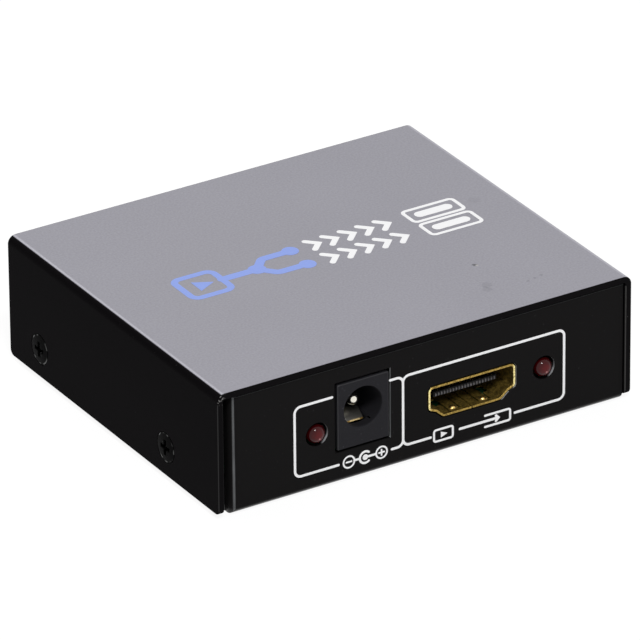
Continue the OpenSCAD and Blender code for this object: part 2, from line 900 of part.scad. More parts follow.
module socket_shell() {
  bottom = -socket_h / 2;
  color(shell_gold)
    in_socket() {
      difference() {
        union() {
          along_y(0, lip_l)
            polygon(socket_outline(shell_t + lip_w));
          along_y(0, shell_l)
            polygon(socket_outline(shell_t));
        }
        along_y(-past, shell_l + 2 * past)
          polygon(socket_outline(0));
        finger_slots(bottom - shell_t - lip_w - past, bottom + shell_t);
        finger_windows(bottom - shell_t - past, bottom + shell_t);
        finger_slots(-bottom - shell_t, -bottom + shell_t + lip_w + past);
        block([-seam_w / 2, -past, bottom - shell_t - lip_w - past],
          [seam_w / 2, shell_l + past, bottom + shell_t]);
      }
      for (x = [-1, 1] * finger_x)
        translate([x, finger_recess + bump_setback, bottom])
          finger_bump();
      for (side = [-1, 1], depth = leg_depths)
        block([side * (socket_w + shell_t) / 2 - shell_t / 2, depth, tail_z - socket_axis_h],
          [side * (socket_w + shell_t) / 2 + shell_t / 2, depth + leg_l, 0]);
    }
}

// One contact: along the tongue, out of the block's back, down to the board and out in a foot
module contact(x, face, side, grow) {
  low = face - (side > 0 ? contact_t - contact_proud : contact_proud);
  foot_z = -socket_axis_h;
  back = shell_l + mould_gap;
  half = contact_w / 2 + grow;
  block([x - half, tongue_recess + contact_setback - grow, low - grow],
    [x + half, back + contact_t, low + contact_t + grow]);
  block([x - half, back, foot_z], [x + half, back + contact_t, low + contact_t + grow]);
  block([x - half, back, foot_z], [x + half, back + contact_t + contact_foot, foot_z + contact_t]);
}

module socket_contacts(grow = 0) {
  for (i = [0:top_row - 1])
    contact((i - (top_row - 1) / 2) * contact_pitch, tongue_lift + tongue_t / 2, 1, grow);
  for (i = [0:bottom_row - 1])
    contact((i - (bottom_row - 1) / 2) * contact_pitch, tongue_lift - tongue_t / 2, -1, grow);
}

module socket_insulator() {
  color(insulator_grey)
    in_socket()
      difference() {
        union() {
          along_y(block_front, block_l)
            polygon(socket_outline(-fit_gap));
          block([-tongue_w / 2, tongue_recess, tongue_lift - tongue_t / 2],
            [tongue_w / 2, shell_l, tongue_lift + tongue_t / 2]);
        }
        socket_contacts(mould_gap);
      }
}

module contact_row() {
  color(contact_gold)
    in_socket()
      socket_contacts();
}

// The two legs of a light, with the cup that holds its chip on the first one
module led_legs(grow = 0) {
  half = led_leg_t / 2 + grow;
  inner = led_back - led_leg_in - grow;
  outer = led_back + led_leg_out;
  for (side = [-1, 1])
    translate([side * led_pitch / 2, 0, led_axis_h]) {
      block([-half, inner, -half], [half, outer, half]);
      block([-half, outer - led_leg_t, tail_z - led_axis_h], [half, outer, half]);
    }
  translate([0, inner, led_axis_h])
    difference() {
      union() {
        rotate([-90, 0, 0])
          cylinder(d = led_cup_d + 2 * grow, h = led_cup_l + 2 * grow);
        block([-led_pitch / 2, led_cup_l / 2, -half], [0, led_cup_l + 2 * grow, half]);
      }
      if (grow == 0)
        rotate([90, 0, 0])
          translate([0, 0, -led_cup_hollow])
            cylinder(d1 = led_cup_floor_d, d2 = led_cup_rim_d, h = led_cup_hollow);
    }
}

module led_lens() {
  color(lens_red)
    difference() {
      union() {
        translate([0, led_centre, led_axis_h])
          sphere(led_r);
        translate([0, led_centre, led_axis_h])
          rotate([-90, 0, 0])
            cylinder(r = led_r, h = led_l);
        translate([0, led_back - led_rim_t, led_axis_h])
          rotate([-90, 0, 0])
            cylinder(d = led_rim_d, h = led_rim_t);
      }
      led_legs(mould_gap);
    }
}

module led_leg_pair() {
  color(tinned)
    led_legs();
}

// A bent leg of a chip, from its body's side down to the board, lying along Y
module gull_leg(width, body_h) {
  top = chip_lift + body_h / 2;
  along_x(-width / 2, width)
    polygon([
      [0, top], [leg_knee_l, top], [leg_knee_l + chip_leg_t, chip_leg_t], [chip_reach, chip_leg_t],
      [chip_reach, 0], [leg_knee_l, 0], [leg_knee_l - chip_leg_t, top - chip_leg_t], [0, top - chip_leg_t]
    ]);
}

module leg_row(count, pitch, width, body_h) {
  for (i = [0:count - 1])
    translate([(i - (count - 1) / 2) * pitch, 0, 0])
      gull_leg(width, body_h);
}

module splitter_chip() {
  color(chip_black)
    on_board(chip_spot)
      difference() {
        block([-chip_w / 2, -chip_w / 2, chip_lift], [chip_w / 2, chip_w / 2, chip_lift + chip_h]);
        translate([chip_dot_inset - chip_w / 2, chip_dot_inset - chip_w / 2,
          chip_lift + chip_h - chip_dot_depth])
          cylinder(d = chip_dot_d, h = past);
      }
}

module splitter_chip_legs() {
  color(tinned)
    on_board(chip_spot)
      for (turn = [0:90:270])
        rotate(turn)
          translate([0, chip_w / 2, 0])
            leg_row(chip_legs, chip_pitch, chip_leg_w, chip_h);
}

module memory_chips() {
  color(chip_black)
    for (spot = memory_spots)
      on_board(spot)
        block([-memory_l / 2, -memory_w / 2, chip_lift], [memory_l / 2, memory_w / 2, chip_lift + memory_h]);
}

module memory_chip_legs() {
  color(tinned)
    for (spot = memory_spots, turn = [0, 180])
      on_board(spot)
        rotate(turn)
          translate([0, memory_w / 2, 0])
            leg_row(memory_legs, memory_pitch, memory_leg_w, memory_h);
}

module regulator() {
  color(chip_black)
    on_board(regulator_spot)
      block([-regulator_l / 2, -regulator_w / 2, chip_lift],
        [regulator_l / 2, regulator_w / 2, chip_lift + regulator_h]);
}

module regulator_legs() {
  color(tinned)
    on_board(regulator_spot) {
      translate([0, regulator_w / 2, 0])
        gull_leg(regulator_tab_w, regulator_h);
      rotate(180)
        translate([0, regulator_w / 2, 0])
          leg_row(regulator_legs, regulator_pitch, regulator_leg_w, regulator_h);
    }
}

module inductor() {
  half = inductor_w / 2;
  inner = half - inductor_cut;
  color(ferrite_grey)
    on_board(inductor_spot)
      linear_extrude(inductor_h)
        polygon([
          [half, inner], [inner, half], [-inner, half], [-half, inner],
          [-half, -inner], [-inner, -half], [inner, -half], [half, -inner]
        ]);
}

module capacitor_cans() {
  color(can_silver)
    for (spot = can_spots)
      on_board(spot)
        translate([0, 0, can_base_h])
          difference() {
            cylinder(d = can_d, h = can_h);
            translate([0, 0, can_groove_z])
              difference() {
                cylinder(d = can_d + past, h = can_groove_h);
                cylinder(d = can_d - 2 * can_groove, h = can_groove_h);
              }
          }
}

module capacitor_bases() {
  color(chip_black)
    for (spot = can_spots)
      on_board(spot)
        block([-can_base_w / 2, -can_base_w / 2, 0], [can_base_w / 2, can_base_w / 2, can_base_h]);
}

module crystal() {
  color(can_silver)
    on_board(crystal_spot) {
      linear_extrude(crystal_foot_t)
        round_rect(crystal_l + 2 * crystal_foot_w, crystal_w + 2 * crystal_foot_w, crystal_w / 2);
      translate([0, 0, crystal_foot_t])
        linear_extrude(crystal_h - crystal_foot_t)
          round_rect(crystal_l, crystal_w, crystal_w / 2 - crystal_foot_w);
    }
}

// A row of small square parts, each set across the row
module bead_row(start, count, height) {
  for (i = [0:count - 1])
    on_board(start + [i * bead_step, 0])
      block([-bead_w / 2, -bead_l / 2, 0], [bead_w / 2, bead_l / 2, height]);
}

module chip_resistors() {
  color(resistor_black)
    bead_row(resistor_start, resistor_count, resistor_h);
}

module chip_capacitors() {
  color(ceramic_tan)
    bead_row(ceramic_start, ceramic_count, ceramic_h);
}

top_cover();
base_chassis();
cover_screws();
circuit_board();
board_standoffs();
board_screws();
jack_housing();
jack_pin();
jack_pin_terminal();
jack_sleeve_terminal();
jack_leaf();
at_front(input_x) socket_shell();  // input_shell
at_front(input_x) socket_insulator();  // input_insulator
at_front(input_x) contact_row();  // input_contacts
at_rear(output_x) socket_shell();  // output_1_shell
at_rear(output_x) socket_insulator();  // output_1_insulator
at_rear(output_x) contact_row();  // output_1_contacts
at_rear(-output_x) socket_shell();  // output_2_shell
at_rear(-output_x) socket_insulator();  // output_2_insulator
at_rear(-output_x) contact_row();  // output_2_contacts
at_front(power_led_x) led_lens();  // power_led_lens
at_front(power_led_x) led_leg_pair();  // power_led_legs
at_front(input_led_x) led_lens();  // input_led_lens
at_front(input_led_x) led_leg_pair();  // input_led_legs
at_rear(output_led_x) led_lens();  // output_1_led_lens
at_rear(output_led_x) led_leg_pair();  // output_1_led_legs
at_rear(-output_led_x) led_lens();  // output_2_led_lens
at_rear(-output_led_x) led_leg_pair();  // output_2_led_legs
splitter_chip();
splitter_chip_legs();
memory_chips();
memory_chip_legs();
regulator();
regulator_legs();
inductor();
capacitor_cans();
capacitor_bases();
crystal();
chip_resistors();
chip_capacitors();
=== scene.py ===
import math

import bmesh
import bpy
import numpy as np
from mathutils import Matrix, Vector


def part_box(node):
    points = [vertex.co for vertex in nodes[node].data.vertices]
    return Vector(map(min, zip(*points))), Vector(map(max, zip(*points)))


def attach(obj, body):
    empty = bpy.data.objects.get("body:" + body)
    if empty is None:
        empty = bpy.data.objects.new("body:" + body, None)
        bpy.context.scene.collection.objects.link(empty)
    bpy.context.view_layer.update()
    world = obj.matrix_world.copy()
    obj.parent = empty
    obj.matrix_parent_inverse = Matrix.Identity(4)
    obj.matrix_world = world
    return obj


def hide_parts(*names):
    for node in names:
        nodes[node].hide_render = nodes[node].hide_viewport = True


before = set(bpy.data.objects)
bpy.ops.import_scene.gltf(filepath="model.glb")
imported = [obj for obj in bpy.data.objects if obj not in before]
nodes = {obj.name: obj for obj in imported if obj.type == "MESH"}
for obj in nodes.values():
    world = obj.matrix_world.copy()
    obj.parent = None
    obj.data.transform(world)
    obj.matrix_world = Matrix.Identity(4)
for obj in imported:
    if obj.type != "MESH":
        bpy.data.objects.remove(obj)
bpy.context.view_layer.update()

mm = 0.001  # lengths below are in millimetres, and meshes are in metres


def cornersOf(node):
    low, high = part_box(node)
    return np.array(low) / mm, np.array(high) / mm


def middleOf(low, high):
    return (low + high) / 2


def pointsOf(node):
    mesh = nodes[node].data
    flat = np.empty(len(mesh.vertices) * 3, np.float32)
    mesh.vertices.foreach_get("co", flat)
    return flat.reshape(-1, 3) / mm


def addObject(name, data):
    thing = bpy.data.objects.new(name, data)
    bpy.context.scene.collection.objects.link(thing)
    return thing


coverHigh = cornersOf("top_cover")[1]
chassisLow, chassisHigh = cornersOf("base_chassis")
jackLow, jackHigh = cornersOf("jack_housing")
leafLow, leafHigh = cornersOf("jack_leaf")
topFace = coverHigh[2]
frontFace, rearFace = chassisLow[1], chassisHigh[1]
panelPoints = pointsOf("base_chassis")
panelPoints = panelPoints[panelPoints[:, 2] > chassisHigh[2] - 1]
panelLeft, panelRight = panelPoints[:, 0].min(), panelPoints[:, 0].max()
print("frame loaded,", len(nodes), "nodes")

# camera: where the photograph was taken from
shot = {
    "azimuth": -31.405,  # degrees, negative is to the left of the front panel
    "elevation": 27.293,
    "roll": -0.467,
    "distance": 1282.95,
    "aimRight": 0.161,  # the picture's middle, from the middle of the floor
    "aimUp": 7.804,
    "aimLift": 0.804,
    "lens": 492.82,
    "sensor": 36.0,
}


def direction(azimuth, elevation):
    turn, tilt = math.radians(azimuth), math.radians(elevation)
    flat = math.cos(tilt)
    return Vector((math.sin(turn) * flat, -math.cos(turn) * flat, math.sin(tilt)))


def makeCamera():
    back = direction(shot["azimuth"], shot["elevation"])
    turn, roll = math.radians(shot["azimuth"]), math.radians(shot["roll"])
    level = Vector((math.cos(turn), math.sin(turn), 0))
    upright = back.cross(level)
    right = level * math.cos(roll) + upright * math.sin(roll)
    up = upright * math.cos(roll) - level * math.sin(roll)
    aim = right * shot["aimRight"] + up * shot["aimUp"] + Vector((0, 0, shot["aimLift"]))
    data = bpy.data.cameras.new("camera")
    data.lens = shot["lens"]
    data.sensor_width = shot["sensor"]
    camera = addObject("camera", data)
    camera.matrix_world = Matrix((right, up, back)).transposed().to_4x4()
    camera.location = (aim + back * shot["distance"]) * mm
    bpy.context.scene.camera = camera


makeCamera()
print("camera placed")

# shader maths


def plug(tree, socket, value):
    if isinstance(value, Wire):
        tree.links.new(value.socket, socket)
    elif socket.type == "RGBA" and len(value) == 3:
        socket.default_value = (*value, 1)
    else:
        socket.default_value = value


def addNode(tree, kind, settings=None, inputs=None, output=0):
    # a node of that kind, with its settings made first; the answer is one of its outputs
    node = tree.nodes.new(kind)
    for key, value in (settings or {}).items():
        setattr(node, key, value)
    for key, value in (inputs or {}).items():
        plug(tree, node.inputs[key], value)
    return Wire(tree, node.outputs[output])


class Wire:
    # one node's output; an operator on wires and numbers adds a Math node
    def __init__(self, tree, socket):
        self.tree = tree
        self.socket = socket

    def maths(self, operation, first, second):
        return addNode(self.tree, "ShaderNodeMath", {"operation": operation}, {0: first, 1: second})

    def __add__(self, other):
        return self.maths("ADD", self, other)

    def __sub__(self, other):
        return self.maths("SUBTRACT", self, other)

    def __rsub__(self, other):
        return self.maths("SUBTRACT", other, self)

    def __mul__(self, other):
        return self.maths("MULTIPLY", self, other)

    def __pow__(self, other):
        return self.maths("POWER", self, other)

    def __mod__(self, other):
        return self.maths("FLOORED_MODULO", self, other)

    def __or__(self, other):
        return self.maths("MAXIMUM", self, other)

    def __abs__(self):
        return self.maths("ABSOLUTE", self, 0)

    __radd__ = __add__
    __rmul__ = __mul__
    __ror__ = __or__


class Finish:
    # a material in the making: its Principled shader and the nodes that feed it
    def __init__(self, name, constants):
        self.material = bpy.data.materials.new(name)
        self.material.use_nodes = True
        self.tree = self.material.node_tree
        self.shader = self.tree.nodes["Principled BSDF"]
        for socket, value in constants.items():
            plug(self.tree, self.shader.inputs[socket], value)
        place = self.add("ShaderNodeTexCoord", output="Object")
        self.point = self.scaled(place, 1 / mm)

    def add(self, kind, settings=None, inputs=None, output=0):
        return addNode(self.tree, kind, settings, inputs, output)

    def parts(self, vector):
        split = self.add("ShaderNodeSeparateXYZ", inputs={"Vector": vector})
        return [Wire(self.tree, socket) for socket in split.socket.node.outputs]

    def axes(self):
        return self.parts(self.point)

    def noise(self, size, detail=2, stretch=(1, 1, 1)):
        # noise from 0 to 1 whose grains are about size millimetres across
        place = self.add("ShaderNodeMapping", inputs={"Vector": self.point, "Scale": stretch})
        return self.add("ShaderNodeTexNoise", inputs={"Vector": place, "Scale": 1 / size, "Detail": detail})

    def ramp(self, value, low, high):
        # 0 below low, 1 above high, with a smooth passage
        limits = {"Value": value, "From Min": low, "From Max": high}
        return self.add("ShaderNodeMapRange", {"interpolation_type": "SMOOTHSTEP"}, limits)

    def blend(self, share, first, second):
        return self.add("ShaderNodeMix", {"data_type": "RGBA"}, {0: share, 6: first, 7: second}, output=2)

    def scaled(self, vector, share):
        values = {"Vector": vector, "Scale": share}
        return self.add("ShaderNodeVectorMath", {"operation": "SCALE"}, values)

    def spot(self, middle, radius, ragged):
        # 1 inside a round mark on the top, whose rim is ragged by noise
        x, y = self.axes()[:2]
        reach = ((x - middle[0]) ** 2 + (y - middle[1]) ** 2) ** 0.5
        rim = reach + (self.noise(radius * 0.7, 1) - 0.5) * ragged
        return 1 - self.ramp(rim, radius * 0.6, radius)

    def feed(self, socket, value):
        plug(self.tree, self.shader.inputs[socket], value)

    def relief(self, height, depth):
        # a bump of that depth in millimetres where height goes from 0 to 1
        values = {"Strength": 1.0, "Distance": depth * mm, "Height": height}
        self.feed("Normal", self.add("ShaderNodeBump", inputs=values))


# finishes

coverPaint = {
    "grey": (0.330, 0.324, 0.364),
    "black": (0.0026, 0.0021, 0.0026),
    "dust": (0.05, 0.05, 0.052),
    # bare metal's colour, also used for painted highlights
    "bareAndHighlight": (0.42, 0.41, 0.40),
    "greyDrop": (0.06, 0.13),  # how far down the bends the grey fades into black
    "rightDrop": 0.4,  # how much further down it reaches on the right
    "grain": 0.32,
    "contrast": 0.42,
    "peel": 0.003,
    "chip": ((17.84, -15.05), 0.27),  # place and radius of a spot of bare metal
    "pit": ((17.66, -14.80), 0.5),  # and of the dark pit beside it, painted darker as the chip's shadow
    "smudges": (  # x, y, radius, strength
        (14.95, -22.28, 1.0, 0.18),
        (15.69, -21.08, 1.0, 0.18),
        (28.86, 3.05, 1.2, 0.10),
    ),
    "specks": ((21.35, -23.25), (22.7, -22.95), (23.97, -22.65)),
    "speck": (0.3, 0.35),  # radius and strength
    "grimeAndShade": (0.12, 0.12, 0.13),
    "rub": 0.45,  # painted highlight in bare metal's colour on the left bend's corners
    "topGloss": 0.3,
    "edgeGloss": 0.06,  # of the cut edges of the sheet
    "cornerGloss": (0.65, 0.2),  # of the outer and the inner corners of those edges
    "sheet": 1.0,
    "bend": 1.4,  # reach of the bends between the top and the side walls
    "bendHighlight": 0.3,  # painted highlight: how much paler the grey is where it turns down into the bends
    "liningHighlight": (0.16, 0.11),  # reach and strength of the painted highlight on the inner face of the right wall, at its cut edges
}


def makeCoverPaint():
    # grey on top, black on the walls and the cut edges, with a painted highlight in bare metal's colour on
    # the left bend's corners and on the right wall's inner face, the grey painted paler at the bends as a
    # highlight, and a painted shadow beside the chip
    finish = Finish("coverPaint", {"Specular IOR Level": 0.008, "Coat Roughness": 0.34})
    x, y, z = finish.axes()
    fade = coverPaint["greyDrop"]
    side, end = coverHigh[0], coverHigh[1]
    sheet, bend = coverPaint["sheet"], coverPaint["bend"]
    lower = finish.ramp(x, 1, 2) * coverPaint["rightDrop"]
    grey = finish.ramp(z + lower, topFace - fade[1], topFace - fade[0])
    grey = grey * (1 - finish.ramp(abs(y), end - 0.16, end - 0.1))
    grain = finish.noise(coverPaint["grain"], 3)
    clouds = finish.noise(14, 2)
    tone = 1 + (grain - 0.5) * coverPaint["contrast"] + (clouds - 0.5) * 0.06
    # the grey is painted paler where it turns into the bends, as a painted highlight
    turning = finish.ramp(abs(x), side - bend + 0.15, side - bend + 0.35)
    tone = tone + turning * coverPaint["bendHighlight"]
    stainAndShade = 0
    for *middle, radius, strength in coverPaint["smudges"]:
        stainAndShade = finish.spot(middle, radius, 0.8) * strength + stainAndShade
    radius, strength = coverPaint["speck"]
    for middle in coverPaint["specks"]:
        stainAndShade = finish.spot(middle, radius, 0.3) * strength + stainAndShade
    # smudges and specks are real stains; the dark pit beside the chip is partly painted shadow
    stainAndShade = stainAndShade | finish.spot(*coverPaint["pit"], 0.5) * 0.9
    greyTop = finish.blend(stainAndShade, finish.scaled(coverPaint["grey"], tone), coverPaint["grimeAndShade"])
    edges = finish.ramp(abs(y), end - 0.12, end - 0.05)
    outer = finish.ramp(abs(x), side - 0.16, side - 0.1)
    inner = 1 - finish.ramp(abs(x), side - sheet + 0.1, side - sheet + 0.16)
    below = 1 - finish.ramp(z, topFace - bend - 0.2, topFace - bend)
    outerGloss, innerGloss = coverPaint["cornerGloss"]
    corners = (outer * outerGloss | inner * innerGloss) * edges * below
    bends = finish.ramp(abs(x), side - bend, side - bend + 0.3)
    bends = bends * finish.ramp(z, topFace - bend - 0.4, topFace - bend)
    leftSide = 1 - finish.ramp(x, -1, 1)
    # bare metal's colour painted on the left bend's corners only, as a painted highlight
    cornerHighlightMask = finish.ramp(finish.noise(0.42, 2), 0.56, 0.66) * edges * bends * leftSide * coverPaint["rub"]
    nicks = finish.ramp(finish.noise(0.5, 1), 0.78, 0.84) * edges * 0.25
    # a painted highlight on the right wall's inner face near its cut edges
    reach, highlightStrength = coverPaint["liningHighlight"]
    liningHighlight = finish.ramp(abs(y), end - reach - 0.1, end - reach) * inner * below * (1 - leftSide) * highlightStrength
    chip = finish.spot(*coverPaint["chip"], 0.2) * grey
    bareAndHighlight = chip | cornerHighlightMask | nicks | liningHighlight
    specks = finish.ramp(finish.noise(0.5, 1), 0.75, 0.82) * finish.noise(6, 1)
    black = finish.blend(specks * 0.6, coverPaint["black"], coverPaint["dust"])
    painted = finish.blend(grey, black, greyTop)
    finish.feed("Base Color", finish.blend(bareAndHighlight, painted, coverPaint["bareAndHighlight"]))
    finish.feed("Roughness", 0.46 - grey * 0.04 + (grain - 0.5) * 0.12)
    finish.feed("Metallic", chip)
    gloss = edges * coverPaint["edgeGloss"] | corners
    finish.feed("Coat Weight", grey * coverPaint["topGloss"] | gloss)
    finish.relief(grain - chip * 3, coverPaint["peel"])
    return finish.material


panelPaint = {
    "black": (0.0091, 0.0086, 0.0088),
    "dust": (0.05, 0.05, 0.05),
    # bare metal's colour, also used for painted highlights
    "bareAndHighlight": (0.58, 0.60, 0.62),
    "rim": (0.03, 0.45),  # how far behind the faces the cut-outs' walls are bare
    "rimBareAndHighlight": (0.45, 0.9),  # bare metal of those walls, and the painted highlight added where they face up
    "strip": (0.45, 0.73),  # how far the bends at the left ends have turned where they carry a painted highlight
    "endHighlight": 0.2,  # strength of that strip's painted highlight
    "paleTop": 0.08,  # how much paler the panels' top edges are
    "end": 2.0,  # reach of the bends at the panels' ends
    "foot": 0.5,  # the bare metal and painted highlights stop this far above the floor
    "footGloss": (0.3, 1.1, 0.8),  # gloss of the bend to the floor: full below, gone above, and its weight
    "grain": 0.3,
    "peel": 0.0035,
}


def makePanelPaint():
    # black paint, glossy on the bends to the floor, with bare metal and painted highlight on the left ends'
    # bends and on the walls of the cut-outs that face left
    finish = Finish("panelPaint", {"Specular IOR Level": 0.02, "Coat Roughness": 0.25})
    x, y, z = finish.axes()
    facing = finish.add("ShaderNodeTexCoord", output="Normal")
    turns = finish.parts(facing)
    leftward, upward = 0 - turns[0], turns[2]
    above = finish.ramp(z, panelPaint["foot"] - 0.3, panelPaint["foot"])
    leftStop, rightStop = panelLeft + panelPaint["end"], panelRight - panelPaint["end"]
    leftEnd = 1 - finish.ramp(x, leftStop, leftStop + 0.1)
    rightEnd = finish.ramp(x, rightStop - 0.1, rightStop)
    depth = rearFace - abs(y)
    near, far = panelPaint["rim"]
    rim = finish.ramp(depth, near, near + 0.03) * (1 - finish.ramp(depth, far - 0.1, far))
    # bare cut edges shown only on walls that face left, paler where they face up: part real, part painted
    # highlight
    rim = rim * finish.ramp(leftward, 0.35, 0.65) * above * (1 - leftEnd) * (1 - rightEnd)
    plain, raised = panelPaint["rimBareAndHighlight"]
    rim = rim * (plain + finish.ramp(upward, 0.1, 0.6) * raised)
    # a painted highlight on the bends at the panels' left ends
    first, last = panelPaint["strip"]
    strip = finish.ramp(leftward, first, first + 0.1) * (1 - finish.ramp(leftward, last - 0.1, last))
    strip = strip * leftEnd * above * (0.55 + finish.noise(4, 1) * 0.9) * panelPaint["endHighlight"]
    top = finish.ramp(z, chassisHigh[2] - 0.12, chassisHigh[2] - 0.06) * panelPaint["paleTop"]
    streaks = finish.noise(0.25, 3, (1, 1, 0.15))
    bareAndHighlight = (rim | strip | top) * (0.7 + streaks * 0.5)
    grain = finish.noise(panelPaint["grain"], 3)
    dust = finish.ramp(finish.noise(0.55, 1), 0.74, 0.80) * finish.noise(5, 1)
    painted = finish.blend(dust * 0.5, panelPaint["black"], panelPaint["dust"])
    finish.feed("Base Color", finish.blend(bareAndHighlight, painted, panelPaint["bareAndHighlight"]))
    full, gone, weight = panelPaint["footGloss"]
    turning = finish.ramp(upward, -0.95, -0.8)  # not on the flat underside
    finish.feed("Coat Weight", (1 - finish.ramp(z, full, gone)) * turning * weight)
    finish.feed("Metallic", bareAndHighlight * 0.3)
    finish.feed("Roughness", 0.44 + (grain - 0.5) * 0.14)
    finish.relief(grain, panelPaint["peel"])
    return finish.material


moulded = {"grain": 0.18, "depth": 0.004, "uneven": 0.16, "speckSize": 0.4, "speck": (0.2, 0.2, 0.21)}


def mouldGrain(finish, roughness):
    # the fine spark-eroded grain of moulded plastic, and its few pale specks
    grain = finish.noise(moulded["grain"], 3)
    finish.feed("Roughness", roughness + (grain - 0.5) * moulded["uneven"])
    finish.relief(grain, moulded["depth"])
    return grain, finish.ramp(finish.noise(moulded["speckSize"], 1), 0.72, 0.80)


def makeMoulded(name, colour, roughness, speck, level=0.3):
    finish = Finish(name, {"Specular IOR Level": level})
    grain, specks = mouldGrain(finish, roughness)
    shade = finish.blend(grain, [c * 0.8 for c in colour], [c * 1.2 for c in colour])
    finish.feed("Base Color", finish.blend(specks * speck, shade, moulded["speck"]))
    return finish.material


jackPlastic = {
    "body": (0.0195, 0.0192, 0.0222),
    "speck": (0.10, 0.10, 0.11),
    "bore": (3.3, 0.8),  # radius of the bore's reach, and the painted shade inside against the face's tone
    "edge": 0.17,  # width of the edges that handling has polished
    "edgeGloss": 0.55,
}


def makeJackPlastic():
    # moulded plastic with polished edges round its face, and painted shade in its bore
    finish = Finish("jackPlastic", {"Specular IOR Level": 0.05, "Coat Roughness": 0.3})
    x, y, z = finish.axes()
    grain, specks = mouldGrain(finish, 0.5)
    body = jackPlastic["body"]
    shade = finish.blend(grain, [c * 0.75 for c in body], [c * 1.25 for c in body])
    middle, half = middleOf(jackLow, jackHigh)[0], (jackHigh - jackLow)[0] / 2
    edge = jackPlastic["edge"]
    rim = finish.ramp(abs(x - middle), half - edge, half - edge / 2)
    rim = rim | finish.ramp(z, jackHigh[2] - edge, jackHigh[2] - edge / 2)
    axis = middleOf(*cornersOf("jack_pin"))[2]
    reach = ((x - middle) ** 2 + (z - axis) ** 2) ** 0.5
    radius, tone = jackPlastic["bore"]
    shadedInside = finish.ramp(y, jackLow[1] + 0.12, jackLow[1] + 0.5)
    bore = (1 - finish.ramp(reach, radius - 0.1, radius)) * shadedInside
    face = finish.blend(specks * 0.5, shade, jackPlastic["speck"])
    finish.feed("Base Color", finish.blend(bore, face, [c * tone for c in body]))
    finish.feed("Coat Weight", rim * jackPlastic["edgeGloss"])
    return finish.material


def makeMetal(name, colour, roughness, stretch, tarnish=0.25):
    # bare or plated metal: drawn streaks along one axis, and duller patches
    finish = Finish(name, {"Metallic": 1.0})
    streaks = finish.noise(0.12, 3, stretch)
    patches = finish.noise(1.3, 3)
    dull = finish.ramp(patches, 0.45, 0.8) * tarnish
    shade = finish.blend(dull, colour, [c * 0.45 for c in colour])
    finish.feed("Base Color", finish.blend(streaks * 0.3, shade, [c * 0.7 for c in colour]))
    finish.feed("Roughness", roughness + (streaks - 0.5) * 0.12 + dull * 0.3)
    finish.relief(streaks, 0.002)
    return finish.material


screwBlack = {
    "body": (0.0022, 0.0020, 0.0022),
    "worn": (0.09, 0.09, 0.09),
    "rim": (2.02, 2.24),  # the ring of the heads that shines
    "gloss": 1.0,
}


def makeScrewBlack():
    # black oxide under oil: dark, with a shine on the rims of the heads and rubbed spots in the crosses
    finish = Finish("screwBlack", {"Specular IOR Level": 0.01, "Coat Roughness": 0.22})
    y, z = finish.axes()[1:]
    low, high = cornersOf("cover_screws")
    middle, half = middleOf(low, high), (high - low) / 2
    across = abs(y - middle[1]) - (half[1] - half[2])  # from the middle of the nearer head
    reach = (across ** 2 + (z - middle[2]) ** 2) ** 0.5
    rim = finish.ramp(reach, *screwBlack["rim"])
    rim = rim * finish.ramp(finish.noise(1.1, 1), 0.50, 0.62)
    grain = finish.noise(0.15, 3)
    cross = 1 - finish.ramp(reach, 0.9, 1.3)
    worn = finish.ramp(finish.noise(0.45, 2), 0.60, 0.70) * cross * 0.5
    finish.feed("Base Color", finish.blend(worn, screwBlack["body"], screwBlack["worn"]))
    finish.feed("Coat Weight", rim * screwBlack["gloss"])
    finish.feed("Roughness", 0.42 + (grain - 0.5) * 0.2)
    finish.relief(grain, 0.003)
    return finish.material


shellGold = {
    "lip": (0.36, 0.245, 0.065),
    "corner": (0.95, 0.80, 0.36),  # the lip where its bends catch the light
    "tipTone": (0.75, 0.52, 0.18),
    # the inside's darker tone is painted shade, and its blotches tarnish
    "shadedInside": (0.216, 0.148, 0.033),
    "stainAndShade": (0.085, 0.058, 0.014),
    "lipDepth": 0.2,
    "half": 7.5,  # half the width of the lip
    "fingers": 2.55,  # the spring fingers' places, to both sides of the middle
    "tip": (0.85, 1.75),  # where a finger's bright tip starts and ends behind the mouth
}


def makeShellGold(name, node):
    # thin gold plate: sandy on the rolled lip and bright at its ends, painted darker inside as shade, with
    # tarnish blotches
    finish = Finish(name, {"Specular IOR Level": 0.2})
    x, y = finish.axes()[:2]
    across = abs(x - middleOf(*cornersOf(node))[0])
    depth = rearFace - abs(y)
    lip = 1 - finish.ramp(depth, shellGold["lipDepth"] - 0.1, shellGold["lipDepth"])
    sand = finish.noise(0.24, 3)
    ends = finish.ramp(across, shellGold["half"] - 0.6, shellGold["half"] - 0.3) * 0.85
    bright = finish.blend(ends, shellGold["lip"], shellGold["corner"])
    blotches = finish.ramp(finish.noise(0.9, 3), 0.42, 0.7)
    shadedInside = finish.blend(blotches, shellGold["shadedInside"], shellGold["stainAndShade"])
    first, last = shellGold["tip"]
    tip = finish.ramp(depth, first - 0.1, first) * (1 - finish.ramp(depth, last - 0.2, last))
    tip = tip * (1 - finish.ramp(abs(across - shellGold["fingers"]), 0.5, 0.65))
    tone = finish.blend(lip, finish.blend(tip, shadedInside, shellGold["tipTone"]), bright)
    finish.feed("Base Color", finish.scaled(tone, 0.45 + finish.ramp(sand, 0.3, 0.7) * 0.95))
    finish.feed("Metallic", 0.65 + (lip | tip) * 0.35)
    finish.feed("Roughness", 0.46 - (lip | tip) * 0.16 + (sand - 0.5) * 0.2)
    finish.relief(sand, 0.015)
    return finish.material


leafTone = {
    # the strip's dark tone is painted shade; the nose's bright tone is a painted highlight
    "strip": (0.17, 0.165, 0.15),
    "nose": (0.95, 0.72, 0.34),
    "noseSide": (0.35, 0.22, 0.06),
    "highlightHalf": 0.85,  # half the width of the nose's painted highlight
}


